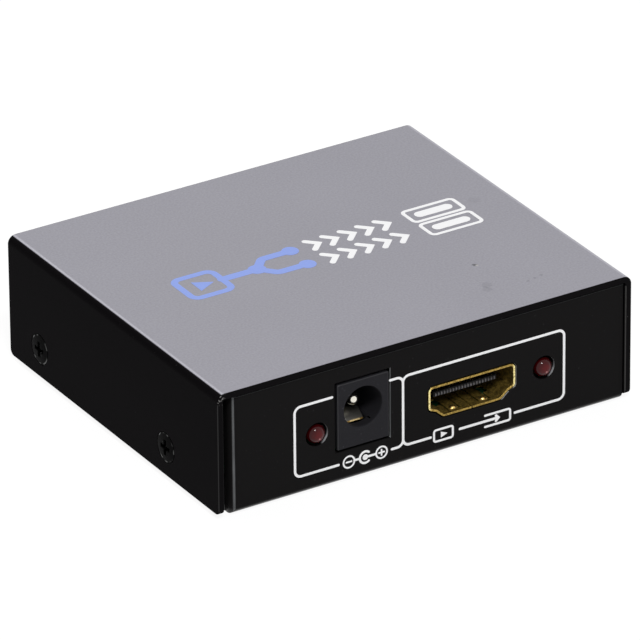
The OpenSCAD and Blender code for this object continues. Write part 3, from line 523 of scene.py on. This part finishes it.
def makeLeafMetal():
    # plated strip, darkened as painted shade, whose bent front end has a painted highlight in the middle
    finish = Finish("leafMetal", {"Metallic": 1.0})
    x, y = finish.axes()[:2]
    streaks = finish.noise(0.1, 3, (1, 0.1, 0.1))
    nose = 1 - finish.ramp(y, leafLow[1] + 0.08, leafLow[1] + 0.24)
    across = abs(x - middleOf(leafLow, leafHigh)[0])
    off = finish.ramp(across, leafTone["highlightHalf"] - 0.1, leafTone["highlightHalf"] + 0.1)
    shade = finish.blend(streaks * 0.5, leafTone["strip"], [c * 0.5 for c in leafTone["strip"]])
    noseHighlight = finish.blend(off, leafTone["nose"], leafTone["noseSide"])
    finish.feed("Base Color", finish.blend(nose, shade, noseHighlight))
    finish.feed("Roughness", 0.24 + streaks * 0.12)
    finish.relief(streaks, 0.001)
    return finish.material


def makeInk(name, colour):
    # screen print: slightly uneven cover, with a faint mesh grain
    finish = Finish(name, {"Specular IOR Level": 0.05})
    grain = finish.noise(0.2, 2)
    thin = finish.ramp(finish.noise(0.6, 2), 0.62, 0.85)
    finish.feed("Base Color", finish.blend(thin * 0.15, colour, [c * 0.7 for c in colour]))
    finish.feed("Roughness", 0.5 + (grain - 0.5) * 0.2)
    finish.relief(grain, 0.003)
    return finish.material


boardTone = {
    "mask": ((0.010, 0.110, 0.050), (0.016, 0.150, 0.068)),
    "track": (0.045, 0.27, 0.11),
    "trackShare": 0.7,
    "layout": {"Scale": 0.4, "Mortar Size": 0.05, "Brick Width": 1.4, "Row Height": 0.3},
}


def makeBoardMask():
    # solder mask over copper: tracks stand out as paler lines
    finish = Finish("boardMask", {"Specular IOR Level": 0.5})
    tracks = finish.add(
        "ShaderNodeTexBrick",
        {"offset": 0.35, "squash": 0.6, "squash_frequency": 3},
        {"Vector": finish.point, **boardTone["layout"]},
        output="Fac",
    )
    grain = finish.noise(0.5, 2)
    mask = finish.blend(grain, *boardTone["mask"])
    finish.feed("Base Color", finish.blend(tracks * boardTone["trackShare"], mask, boardTone["track"]))
    finish.feed("Roughness", 0.3 + grain * 0.15)
    finish.relief(tracks, 0.02)
    return finish.material


canTone = {"drawn": ((0.55, 0.56, 0.58), (0.75, 0.76, 0.78)), "mark": (0.02, 0.02, 0.02), "markFrom": 4.7}


def makeCanAluminium():
    # drawn cans that stand side by side, each with a dark polarity mark on one side of its top
    finish = Finish("canAluminium", {})
    x, z = finish.axes()[::2]
    low, high = cornersOf("capacitor_cans")
    pitch = high[0] - low[0] - (high[1] - low[1])
    across = (x - low[0]) % pitch
    start = canTone["markFrom"]
    mark = finish.ramp(across, start, start + 0.1) * finish.ramp(z, high[2] - 0.03, high[2] - 0.01)
    streaks = finish.noise(0.3, 3, (1, 1, 0.1))
    shade = finish.blend(streaks, *canTone["drawn"])
    finish.feed("Base Color", finish.blend(mark, shade, canTone["mark"]))
    finish.feed("Metallic", 1 - mark)
    finish.feed("Roughness", 0.28 + streaks * 0.12)
    finish.relief(streaks, 0.002)
    return finish.material


chipEnds = {"tin": (0.62, 0.61, 0.58), "length": 0.26}


def makeChipPart(name, node, body):
    # a small board part whose two ends along Y are tinned
    finish = Finish(name, {"Specular IOR Level": 0.4})
    y = finish.axes()[1]
    low, high = cornersOf(node)
    start = (high - low)[1] / 2 - chipEnds["length"]
    ends = finish.ramp(abs(y - middleOf(low, high)[1]), start - 0.06, start)
    grain = finish.noise(0.15, 2)
    shade = finish.blend(grain, [c * 0.8 for c in body], [c * 1.15 for c in body])
    finish.feed("Base Color", finish.blend(ends, shade, chipEnds["tin"]))
    finish.feed("Metallic", ends)
    finish.feed("Roughness", 0.42 + (grain - 0.5) * 0.2)
    finish.relief(grain, 0.003)
    return finish.material


ports = ("input", "output_1", "output_2")
lights = ("power", *ports)


def nameOf(port, what):
    # output_1 and Lens make outputLens1
    kind, number = (port + "_").split("_")[:2]
    return kind + what + number


finishes = {
    "coverPaint": makeCoverPaint(),
    "panelPaint": makePanelPaint(),
    "screwBlack": makeScrewBlack(),
    "jackPlastic": makeJackPlastic(),
    "tonguePlastic": makeMoulded("tonguePlastic", (0.012, 0.012, 0.013), 0.5, 0.08, 0.1),
    "chipEpoxy": makeMoulded("chipEpoxy", (0.014, 0.014, 0.015), 0.55, 0.12),
    "ferrite": makeMoulded("ferrite", (0.045, 0.045, 0.05), 0.6, 0.3),
    **{nameOf(port, "Gold"): makeShellGold(nameOf(port, "Gold"), port + "_shell") for port in ports},
    "contactGold": makeMetal("contactGold", (0.60, 0.45, 0.20), 0.25, (1, 0.1, 1)),
    "pinNickel": makeMetal("pinNickel", (0.84, 0.81, 0.72), 0.14, (1, 0.2, 1), 0.15),
    "tinPlate": makeMetal("tinPlate", (0.60, 0.59, 0.56), 0.34, (1, 1, 0.2)),
    "plainSteel": makeMetal("plainSteel", (0.52, 0.52, 0.51), 0.32, (1, 1, 0.2)),
    "leafMetal": makeLeafMetal(),
    "whiteInk": makeInk("whiteInk", (0.97, 0.97, 0.98)),
    "blueInk": makeInk("blueInk", (0.30, 0.40, 0.84)),
    "boardMask": makeBoardMask(),
    "canAluminium": makeCanAluminium(),
    "resistorGlaze": makeChipPart("resistorGlaze", "chip_resistors", (0.012, 0.012, 0.014)),
    "capacitorClay": makeChipPart("capacitorClay", "chip_capacitors", (0.33, 0.23, 0.12)),
}
print("finishes made,", len(finishes))

# CAD nodes that stay as they are, and the finish of each
carried = {
    "circuit_board": "boardMask",
    "board_standoffs": "plainSteel",
    "board_screws": "plainSteel",
    "jack_pin": "pinNickel",
    "jack_pin_terminal": "tinPlate",
    "jack_sleeve_terminal": "tinPlate",
    "splitter_chip": "chipEpoxy",
    "splitter_chip_legs": "tinPlate",
    "memory_chips": "chipEpoxy",
    "memory_chip_legs": "tinPlate",
    "regulator": "chipEpoxy",
    "regulator_legs": "tinPlate",
    "inductor": "ferrite",
    "capacitor_cans": "canAluminium",
    "capacitor_bases": "chipEpoxy",
    "crystal": "plainSteel",
    "chip_resistors": "resistorGlaze",
    "chip_capacitors": "capacitorClay",
    **{port + "_contacts": "contactGold" for port in ports},
    **{light + "_led_legs": "tinPlate" for light in lights},
}
for node, finishName in carried.items():
    nodes[node].material_slots[0].material = finishes[finishName]
print("finishes on", len(carried), "carried nodes")

# pieces whose sharp CAD edges are broken: node, then name, finish, edge radius and body
softened = {
    "top_cover": ("topCover", "coverPaint", 0.14, "case"),
    "base_chassis": ("baseChassis", "panelPaint", 0.08, "case"),
    "cover_screws": ("coverScrews", "screwBlack", 0.09, "case"),
    "jack_housing": ("jackHousing", "jackPlastic", 0.15, "case"),
    "jack_leaf": ("jackLeaf", "leafMetal", 0.05, "leaf"),
    **{port + "_shell": (nameOf(port, "Shell"), nameOf(port, "Gold"), 0.07, "case") for port in ports},
    **{port + "_insulator": (nameOf(port, "Insulator"), "tonguePlastic", 0.05, "case") for port in ports},
}
edgeAngle = 32  # degrees; a bend in a sheet turns less than this from facet to facet


def welded(mesh):
    # the mesh opened for work, with points in the same place made one
    shape = bmesh.new()
    shape.from_mesh(mesh)
    bmesh.ops.remove_doubles(shape, verts=shape.verts, dist=0.0005 * mm)
    return shape


def softenNode(node, name, finishName, radius, body):
    # the node's own triangles, merged into flat faces, with a rounded strip along each sharp edge
    mesh = nodes[node].data.copy()
    mesh.name = name
    shape = welded(mesh)
    bmesh.ops.dissolve_limit(shape, angle_limit=math.radians(0.3), verts=shape.verts, edges=shape.edges)
    for face in shape.faces:
        face.smooth = True
    shape.to_mesh(mesh)
    shape.free()
    if "custom_normal" in mesh.attributes:
        mesh.attributes.remove(mesh.attributes["custom_normal"])
    mesh.materials.clear()
    mesh.materials.append(finishes[finishName])
    piece = addObject(name, mesh)
    bevel = piece.modifiers.new("brokenEdges", "BEVEL")
    bevel.width = radius * mm
    bevel.segments = 3
    bevel.limit_method = "ANGLE"
    bevel.angle_limit = math.radians(edgeAngle)
    bevel.use_clamp_overlap = False
    bevel.harden_normals = True
    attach(piece, body)
    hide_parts(node)


for node, (name, finishName, radius, body) in softened.items():
    softenNode(node, name, finishName, radius, body)
print("edges broken on", len(softened), "pieces")

# surfaces worked out on grids


def gridFaces(rows, columns):
    # the cells between neighbouring points of a grid whose columns close on themselves
    index = np.arange(rows * columns).reshape(rows, columns)
    index = np.concatenate([index, index[:, :1]], axis=1)
    return np.stack([index[:-1, :-1], index[:-1, 1:], index[1:, 1:], index[1:, :-1]], -1).reshape(-1, 4)


def addPiece(name, grids, finish, smooth=False):
    # grids of points in millimetres, each rows by columns by 3, joined into one closed mesh
    points = np.concatenate([grid.reshape(-1, 3) for grid in grids]) * mm
    counts = np.cumsum([0] + [grid.shape[0] * grid.shape[1] for grid in grids])
    faces = np.concatenate([gridFaces(*grid.shape[:2]) + start for grid, start in zip(grids, counts)])
    mesh = bpy.data.meshes.new(name)
    mesh.from_pydata(points.tolist(), [], faces.tolist())
    shape = welded(mesh)
    bmesh.ops.recalc_face_normals(shape, faces=shape.faces)
    shape.to_mesh(mesh)
    shape.free()
    if smooth:
        mesh.polygons.foreach_set("use_smooth", np.ones(len(mesh.polygons), bool))
        mesh.set_sharp_from_angle(angle=math.radians(edgeAngle))
    mesh.materials.append(finish)
    piece = addObject(name, mesh)
    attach(piece, "case")
    return piece


# lenses of the lights
lens = {
    "diameter": 3.0,
    "rimDepth": 1.0,
    # core and rim: painted shade darkening the dome towards its rim; chip: colour of the painted glint
    "core": (0.092, 0.0020, 0.0036),
    "rim": (0.032, 0.0008, 0.0014),
    "chip": (0.62, 0.24, 0.24),
    "glintDrop": 0.42,  # the painted glint of the chip's cup sits below the middle of the dome
    "steps": (17, 64),  # points along the dome and round it
}


def lensSurface(low, high):
    # a profile of radius and depth, turned about the light's axis: a half round dome, r sin(a) across at
    # r - r cos(a) behind its tip, then the barrel, the rim and the flat back
    outward = -1 if low[1] < 0 else 1
    tip, back = (low[1], high[1]) if outward < 0 else (high[1], low[1])
    length, radius, rim = abs(back - tip), lens["diameter"] / 2, (high[0] - low[0]) / 2
    along, around = lens["steps"]
    dome = np.linspace(0, np.pi / 2, along)
    step = length - lens["rimDepth"]
    across = np.concatenate([radius * np.sin(dome), [radius, rim, rim, 0]])
    depth = np.concatenate([radius - radius * np.cos(dome), [step, step, length, length]])
    turn = np.linspace(0, 2 * np.pi, around, endpoint=False)
    middle = middleOf(low, high)
    x = middle[0] + across[:, None] * np.cos(turn)
    z = middle[2] + across[:, None] * np.sin(turn)
    y = np.broadcast_to((tip - outward * depth)[:, None], x.shape)
    return np.stack([x, y, z], -1)


def makeLensResin(name, centre):
    # red resin with painted shade towards the rim, and a painted glint of the chip's cup below the middle
    finish = Finish(name, {"Specular IOR Level": 0.22, "IOR": 1.5})
    x, z = finish.axes()[::2]
    acrossX, acrossZ = x - centre[0], z - centre[2]
    reach = (acrossX ** 2 + acrossZ ** 2) ** 0.5
    clouds = finish.noise(0.7, 2)
    middle = 1 - finish.ramp(reach + (clouds - 0.5) * 0.5, 0.2, lens["diameter"] / 2)
    # a painted glint of the chip's cup
    cup = (acrossX ** 2 + (acrossZ + lens["glintDrop"]) ** 2) ** 0.5
    chip = (1 - finish.ramp(cup, 0.06, 0.22)) * 0.7
    body = finish.blend(middle, lens["rim"], lens["core"])
    finish.feed("Base Color", finish.blend(chip, body, lens["chip"]))
    finish.feed("Roughness", 0.02 + clouds * 0.03)
    finish.relief(clouds, 0.0006)
    return finish.material


for light in lights:
    name = nameOf(light, "Lens")
    low, high = cornersOf(light + "_led_lens")
    resin = makeLensResin(name + "Resin", middleOf(low, high))
    piece = addPiece(name, [lensSurface(low, high)], resin, smooth=True)
    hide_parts(light + "_led_lens")
print("lenses made")

# noses of the contacts, side by side over the tip of each tongue
comb = {
    "across": 10.25,
    "pitch": 0.5,
    "rise": 0.06,
    "reach": 0.1,
    "tongue": (2.25, 3.05),  # top and bottom of a tongue, below the top of its shell
    "inset": (0.05, 0.2),  # inside the tongue's top and bottom
    "metal": (0.190, 0.186, 0.196),
    "plastic": (0.018, 0.017, 0.019),
    "steps": 247,  # points across, 12 to each rib
}


def combSurface(low, high, shellTop):
    # a flat rectangle carried across the tongue, with its front raised into ribs,
    # rise * (0.5 + 0.5 cos(2 pi x / pitch)), and both ends drawn in to a point
    outward = -1 if low[1] < 0 else 1
    tip = low[1] if outward < 0 else high[1]
    tongueTop = shellTop - comb["tongue"][0] - comb["inset"][0]
    tongueBottom = shellTop - comb["tongue"][1] + comb["inset"][1]
    x = np.linspace(-comb["across"] / 2, comb["across"] / 2, comb["steps"])
    heights = np.array([tongueBottom, tongueBottom + 0.1, tongueTop - 0.1, tongueTop])
    rise = comb["rise"] * (0.5 + 0.5 * np.cos(2 * np.pi * x / comb["pitch"]))
    front = comb["reach"] * np.array([0.4, 1, 1, 0.4]) + rise[:, None] * np.array([0.3, 1, 1, 0.3])
    rings = np.concatenate([front, np.full((len(x), 2), -0.02)], 1)
    heights = np.concatenate([heights, heights[[3, 0]]])
    across = np.broadcast_to(x[:, None], rings.shape)
    grid = np.stack([across, rings, np.broadcast_to(heights, rings.shape)], -1)
    poles = np.broadcast_to(grid[[0, -1]].mean(1, keepdims=True), (2, *grid.shape[1:]))
    grid = np.concatenate([poles[:1], grid, poles[1:]])
    return grid * (1, outward, 1) + (middleOf(low, high)[0], tip, 0)


def makeCombMetal(name, middle):
    # the contacts' noses, dull with plating dust, on dark plastic, one every pitch
    finish = Finish(name, {"Specular IOR Level": 0.15})
    x, pitch = finish.axes()[0], comb["pitch"]
    phase = abs((x - middle) % pitch - pitch / 2) * (1 / pitch)
    nose = finish.ramp(phase, 0.22, 0.36)
    grain = finish.noise(0.16, 3)
    uneven = finish.ramp(finish.noise(0.7, 1), 0.35, 0.65)
    metal = finish.scaled(comb["metal"], 0.35 + grain * 0.8 + uneven * 0.4)
    finish.feed("Base Color", finish.blend(nose, comb["plastic"], metal))
    finish.feed("Metallic", nose * 0.3)
    finish.feed("Roughness", 0.5 - nose * 0.12 + (grain - 0.5) * 0.2)
    finish.relief(grain, 0.004)
    return finish.material


for port in ports:
    name = nameOf(port, "Comb")
    low, high = cornersOf(port + "_insulator")
    shellTop = cornersOf(port + "_shell")[1][2]
    finish = makeCombMetal(name + "Metal", middleOf(low, high)[0])
    addPiece(name, [combSurface(low, high, shellTop)], finish)
print("contact noses made")

# prints: lines of ink on flat faces


def unit(vectors):
    return vectors / np.linalg.norm(vectors, axis=-1, keepdims=True)


def roundedPath(corners, radius, closed=False, steps=9):
    # a line through corners whose bends are arcs tangent to both sides: the arc's centre lies
    # radius / sin(half the corner's angle) from the corner, along the line that halves it
    here = np.array(corners, float)
    middle = here if closed else here[1:-1]
    before = np.roll(here, 1, 0) if closed else here[:-2]
    after = np.roll(here, -1, 0) if closed else here[2:]
    u, v = unit(before - middle), unit(after - middle)
    half = np.arccos(np.clip((u * v).sum(-1, keepdims=True), -1, 1)) / 2
    centre = middle + unit(u + v) * radius / np.sin(half)
    start = middle + u * radius / np.tan(half) - centre
    end = middle + v * radius / np.tan(half) - centre
    first = np.arctan2(start[:, 1], start[:, 0])[:, None]
    cross = start[:, 0] * end[:, 1] - start[:, 1] * end[:, 0]
    sweep = np.arctan2(cross, (start * end).sum(-1))[:, None]
    angle = first + sweep * np.linspace(0, 1, steps)
    arcs = centre[:, None] + radius * np.stack([np.cos(angle), np.sin(angle)], -1)
    arcs = arcs.reshape(-1, 2)
    return arcs if closed else np.concatenate([here[:1], arcs, here[-1:]])


def arcPath(middle, radius, first, last, steps=33):
    angle = np.radians(np.linspace(first, last, steps))
    return np.array(middle) + radius * np.stack([np.cos(angle), np.sin(angle)], -1)


ink = {"height": 0.03, "sink": 0.015, "shoulder": 0.02, "capSteps": 7, "lap": 0.003}


def turned(vectors):
    return np.stack([-vectors[:, 1], vectors[:, 0]], -1)


def stroke(path, width, closed=False, flat=False):
    # a line of ink: its edges lie half a width to either side, mitred at corners by 1 / cos(half the turn);
    # past an open end the half width falls off as a half circle, or at once if the end is flat
    path = np.array(path, float)
    if closed:
        path = np.concatenate([path, path[:1]])
    step = unit(np.diff(path, axis=0))
    before = np.concatenate([step[-1:] if closed else step[:1], step])
    after = np.concatenate([step, step[:1] if closed else step[-1:]])
    side = unit(turned(before) + turned(after))
    side = side / np.clip((side * turned(after)).sum(-1, keepdims=True), 0.5, 1)
    half = np.broadcast_to(np.array(width) / 2, len(path))
    if not closed:
        angle = np.linspace(np.pi / 2, 0, 1 if flat else ink["capSteps"], endpoint=False)
        reach = np.sin(angle)[:, None] * (ink["lap"] if flat else 1)
        head = path[0] - step[0] * reach * (1 if flat else half[0])
        tail = path[-1] + step[-1] * reach[::-1] * (1 if flat else half[-1])
        taper = np.cos(angle)
        half = np.concatenate([taper * half[0], half, taper[::-1] * half[-1]])
        ones = np.ones((len(angle), 1))
        side = np.concatenate([ones * side[0], side, ones * side[-1]])
        path = np.concatenate([head, path, tail])
    inner = np.maximum(half - ink["shoulder"], half * 0.5)
    offsets = np.stack([-half, -inner, inner, half], -1)
    flatPoints = path[:, None] + side[:, None] * offsets[..., None]
    level = np.broadcast_to([-ink["sink"], ink["height"], ink["height"], -ink["sink"]], offsets.shape)
    return np.concatenate([flatPoints, level[..., None]], -1)


def dot(middle, diameter):
    # a disc of ink, as a line of hardly any length
    middle = np.array(middle, float)
    return stroke([middle - (0.01, 0), middle + (0.01, 0)], diameter)


# each plane takes flat ink (across, up, height) to its place on the box
def onFront(grid):
    return np.stack([grid[..., 0], frontFace - grid[..., 2], grid[..., 1]], -1)


def onRear(grid):
    return np.stack([-grid[..., 0], rearFace + grid[..., 2], grid[..., 1]], -1)


def onTop(grid):
    return np.stack([grid[..., 0], grid[..., 1], topFace + grid[..., 2]], -1)


def shifted(strokes, by):
    return [grid + (*by, 0) for grid in strokes]


def printPiece(name, strokes, plane, finishName):
    # each stroke lies a little higher than the one before, so that none share a face where they cross
    raised = [grid + (0, 0, ink["lap"] * number) for number, grid in enumerate(strokes)]
    addPiece(name, [plane(grid) for grid in raised], finishes[finishName])


frames = {
    "line": 0.41,
    "corner": 1.0,
    "bottom": 3.11,
    "top": 14.33,
    "left": -22.03,  # left side of the power frame
    "shared": -3.84,  # the side that both frames share
    "right": 23.65,  # right side of the input frame
    "powerGap": (-14.75, -5.75),  # break in the bottom line for a mark
    "inputGap": (0.8, 15.2),
    "jackGap": (0.65, 0.1),  # the top line stops short of the jack, left and right
    "rearSide": 27.4,
    "rearGap": (6.6, 15.4),
}


def frontFrames():
    # both sides of the power frame, which stops at the jack, then the input frame
    low, high, line = frames["bottom"], frames["top"], frames["line"]
    left, shared, right = frames["left"], frames["shared"], frames["right"]
    power, into, (before, after) = frames["powerGap"], frames["inputGap"], frames["jackGap"]
    paths = (
        [(jackLow[0] - before - line / 2, high), (left, high), (left, low), (power[0], low)],
        [(jackHigh[0] + after + line / 2, high), (shared, high), (shared, low), (power[1], low)],
        [(into[0], low), (shared, low), (shared, high), (right, high), (right, low), (into[1], low)],
    )
    return [stroke(roundedPath(path, frames["corner"]), line) for path in paths]


def rearFrames():
    # two frames that share their middle line, one for each output
    low, high, side = frames["bottom"], frames["top"], frames["rearSide"]
    near, far = frames["rearGap"]
    outline = np.array([(near, low), (0, low), (0, high), (side, high), (side, low), (far, low)])
    paths = [roundedPath(outline * (turn, 1), frames["corner"]) for turn in (-1, 1)]
    return [stroke(path, frames["line"]) for path in paths]


marks = {
    "line": 0.36,
    "ring": 0.92,
    "half": 0.92,  # half the height of the marks
    "away": 2.75,  # the rings' distance from the middle of the polarity mark
    "tick": 0.42,
    "dot": 0.9,
    "head": 0.42,
    "picture": (-6.6, -3.4),  # left and right ends of the parts of the input's mark
    "play": (-5.45, -4.4, 0.95),
    "inArrow": (-2.2, 4.4),
    "inBox": (2.1, 6.4),
    "outArrow": (-2.4, 1.3),  # and of the outputs' marks
    "outBox": (0.7, 3.4),
    "figure": 3.1,  # middle of an output's number
    "corner": 0.35,
}


def polarityMark():
    # the usual mark of a barrel plug: a ringed minus to the sleeve, a ringed plus to the pin
    line, ring, half = marks["line"], marks["ring"], marks["half"]
    away, tick = marks["away"], marks["tick"]
    fine, pair = line * 0.8, (-away, away)
    return [
        *[stroke(arcPath((x, 0), ring, 0, 360)[:-1], fine, closed=True) for x in pair],
        *[stroke([(x - tick, 0), (x + tick, 0)], fine) for x in pair],
        stroke([(away, -tick), (away, tick)], fine),
        stroke([(-away + ring, 0), (-half, 0)], line),
        stroke(arcPath((0, 0), half, 50, 310), line),
        dot((0, 0), marks["dot"]),
        stroke([(0, 0), (away - ring, 0)], line),
    ]


def arrow(start, end, head, line):
    # a straight line with two barbs at its end
    return [
        stroke([(start, 0), (end, 0)], line),
        stroke([(end - head, head), (end, 0), (end - head, -head)], line),
    ]


def box(left, right, half, line, corner):
    outline = [(left, -half), (right, -half), (right, half), (left, half)]
    return [stroke(roundedPath(outline, corner, closed=True), line, closed=True)]


def triangle(left, right, height):
    return [stroke([(left, 0), (right, 0)], [height, 0.1], flat=True)]


def bracket(left, right, half, line):
    # three sides of a box that is open on the left
    outline = [(left, half), (right, half), (right, -half), (left, -half)]
    return [stroke(roundedPath(outline, marks["corner"]), line)]


def inputMark():
    # a picture in its frame, and an arrow into an open box
    line, half = marks["line"], marks["half"]
    picture = box(*marks["picture"], half, line, marks["corner"]) + triangle(*marks["play"])
    inward = arrow(*marks["inArrow"], marks["head"], line * 1.15)
    return picture + inward + bracket(*marks["inBox"], half, line)


def figureOne():
    return [stroke([(-0.42, 0.46), (0.06, 0.86), (0.06, -0.92)], marks["line"] * 1.1)]


def figureTwo():
    bowl = arcPath((0, 0.4), 0.5, 165, -35, 17)
    path = np.concatenate([bowl, [(-0.54, -0.9), (0.58, -0.9)]])
    return [stroke(path, marks["line"] * 1.1)]


def outputMark(figure):
    # an arrow out of an open box, and the output's number
    line, half = marks["line"], marks["half"]
    opened = [grid * (-1, 1, 1) for grid in bracket(*marks["outBox"], half, line)]
    outward = arrow(*marks["outArrow"], marks["head"], line * 1.15)
    return opened + outward + shifted(figure, (marks["figure"], 0))


printPiece("frontFrames", frontFrames(), onFront, "whiteInk")
powerPlace = (middleOf(*frames["powerGap"]), frames["bottom"])
inputPlace = (middleOf(*frames["inputGap"]), frames["bottom"])
rearPlace = (middleOf(*frames["rearGap"]), frames["bottom"])
printPiece("powerMark", shifted(polarityMark(), powerPlace), onFront, "whiteInk")
printPiece("inputMark", shifted(inputMark(), inputPlace), onFront, "whiteInk")
printPiece("rearFrames", rearFrames(), onRear, "whiteInk")
mirrored = (-rearPlace[0], rearPlace[1])
printPiece("outputMark1", shifted(outputMark(figureOne()), mirrored), onRear, "whiteInk")
printPiece("outputMark2", shifted(outputMark(figureTwo()), rearPlace), onRear, "whiteInk")
print("panel prints made")

# the top's print: one source that branches into two, with a screen at the end of each branch
diagram = {
    "middle": (1.7, 0.9),
    "branch": 2.45,  # height of each branch above or below the middle
    "plate": (-24.0, -17.4, 3.3, 1.1),  # left, right, half height and line of the source's plate
    "play": (2.2, 1.5, 3.1),  # the triangle's distance from its left and right sides, and its height
    "corner": 1.2,  # of the plate and of the bends in the branches
    "fork": -11.5,
    "slope": 2.2,  # how far across a branch leaves the middle
    "trunk": 1.5,
    "arm": 1.4,
    "discs": -4.4,
    "disc": (2.8, 2.6),  # diameters at the fork and at the ends of the branches
    "chevrons": (-1.0, 3.0, 5),  # first one, distance between two, and how many
    "chevron": (1.45, 0.95),  # rise and line of a chevron
    "screen": (15.9, 24.6, 1.95, 0.6),  # left, right, half height and line
    "screenCorner": 0.7,
    "bar": (2, 1.7),  # distance of a screen's bar from its sides, and its line
}


def diagramBlue():
    left, right, half, line = diagram["plate"]
    fork, branch, discs = diagram["fork"], diagram["branch"], diagram["discs"]
    first, last, height = diagram["play"]
    corner, (forkDisc, endDisc) = diagram["corner"], diagram["disc"]
    strokes = box(left, right, half, line, corner) + triangle(left + first, right - last, height)
    strokes += [stroke([(right, 0), (fork, 0)], diagram["trunk"]), dot((fork, 0), forkDisc)]
    for side in (-1, 1):
        path = [(fork, 0), (fork + diagram["slope"], side * branch), (discs - 0.8, side * branch)]
        strokes += [stroke(roundedPath(path, corner), diagram["arm"]), dot((discs, side * branch), endDisc)]
    return strokes


def diagramWhite():
    first, apart, count = diagram["chevrons"]
    left, right, half, line = diagram["screen"]
    rise, chevronLine = diagram["chevron"]
    strokes = []
    for tip in first + apart * np.arange(count):
        strokes += [stroke([(tip, rise), (tip + rise, 0), (tip, -rise)], chevronLine)]
    strokes += box(left, right, half, line, diagram["screenCorner"])
    inset, bar = diagram["bar"]
    strokes += [stroke([(left + inset, 0), (right - inset, 0)], bar)]
    return shifted(strokes, (0, diagram["branch"])) + shifted(strokes, (0, -diagram["branch"]))


printPiece("diagramBlue", shifted(diagramBlue(), diagram["middle"]), onTop, "blueInk")
printPiece("diagramWhite", shifted(diagramWhite(), diagram["middle"]), onTop, "whiteInk")
print("top print made")

# stage: floor, lamps and world
stage = {
    "floor": (0.86, 0.86, 0.86),
    "floorReach": 4000,
    "floorDrop": 0.03,
    "white": 1.08,  # strength of the floor's own white
    "glow": 0.84,  # share of that white, which no shadow takes away
    "world": 0.42,
}
lamps = {  # azimuth, elevation, distance, width, power
    "keyLamp": (-22, 54, 1200, 220, 7.0),
    "rearLamp": (175, 32, 1200, 420, 3.5),
}


def seenDirectly(tree):
    # 1 for rays that come from the camera or off a mirror or through glass
    kinds = ("Is Camera Ray", "Is Glossy Ray", "Is Transmission Ray")
    camera, glossy, through = [addNode(tree, "ShaderNodeLightPath", output=kind) for kind in kinds]
    return camera + glossy + through


def makeFloor():
    corners = np.array([(-1, -1, 0), (1, -1, 0), (1, 1, 0), (-1, 1, 0)]) * stage["floorReach"]
    points = (corners - (0, 0, stage["floorDrop"])) * mm
    mesh = bpy.data.meshes.new("floor")
    mesh.from_pydata(points.tolist(), [], [(0, 1, 2, 3)])
    material = bpy.data.materials.new("floorPaper")
    material.use_nodes = True
    tree = material.node_tree
    tree.nodes.remove(tree.nodes["Principled BSDF"])
    paper = addNode(tree, "ShaderNodeBsdfDiffuse", inputs={"Color": stage["floor"]})
    white = addNode(tree, "ShaderNodeEmission", inputs={"Strength": stage["white"]})
    share = seenDirectly(tree) * stage["glow"]
    mixed = addNode(tree, "ShaderNodeMixShader", inputs={0: share, 1: paper, 2: white})
    plug(tree, tree.nodes["Material Output"].inputs["Surface"], mixed)
    mesh.materials.append(material)
    floor = addObject("floor", mesh)


def makeLamp(name, azimuth, elevation, distance, width, power):
    data = bpy.data.lights.new(name, "AREA")
    data.size = width * mm
    data.energy = power
    lamp = addObject(name, data)
    away = direction(azimuth, elevation)
    lamp.location = away * distance * mm
    lamp.rotation_mode = "QUATERNION"
    lamp.rotation_quaternion = away.to_track_quat("Z", "Y")


def makeWorld():
    world = bpy.data.worlds.new("studio")
    world.use_nodes = True
    tree = world.node_tree
    sky = tree.nodes["Background"]
    plug(tree, sky.inputs["Color"], (1, 1, 1))
    strength = stage["world"] + seenDirectly(tree) * (1 - stage["world"])
    plug(tree, sky.inputs["Strength"], strength)
    bpy.context.scene.world = world


makeFloor()
for name, values in lamps.items():
    makeLamp(name, *values)
makeWorld()
bpy.context.scene.view_settings.view_transform = "Standard"
print("stage lit")
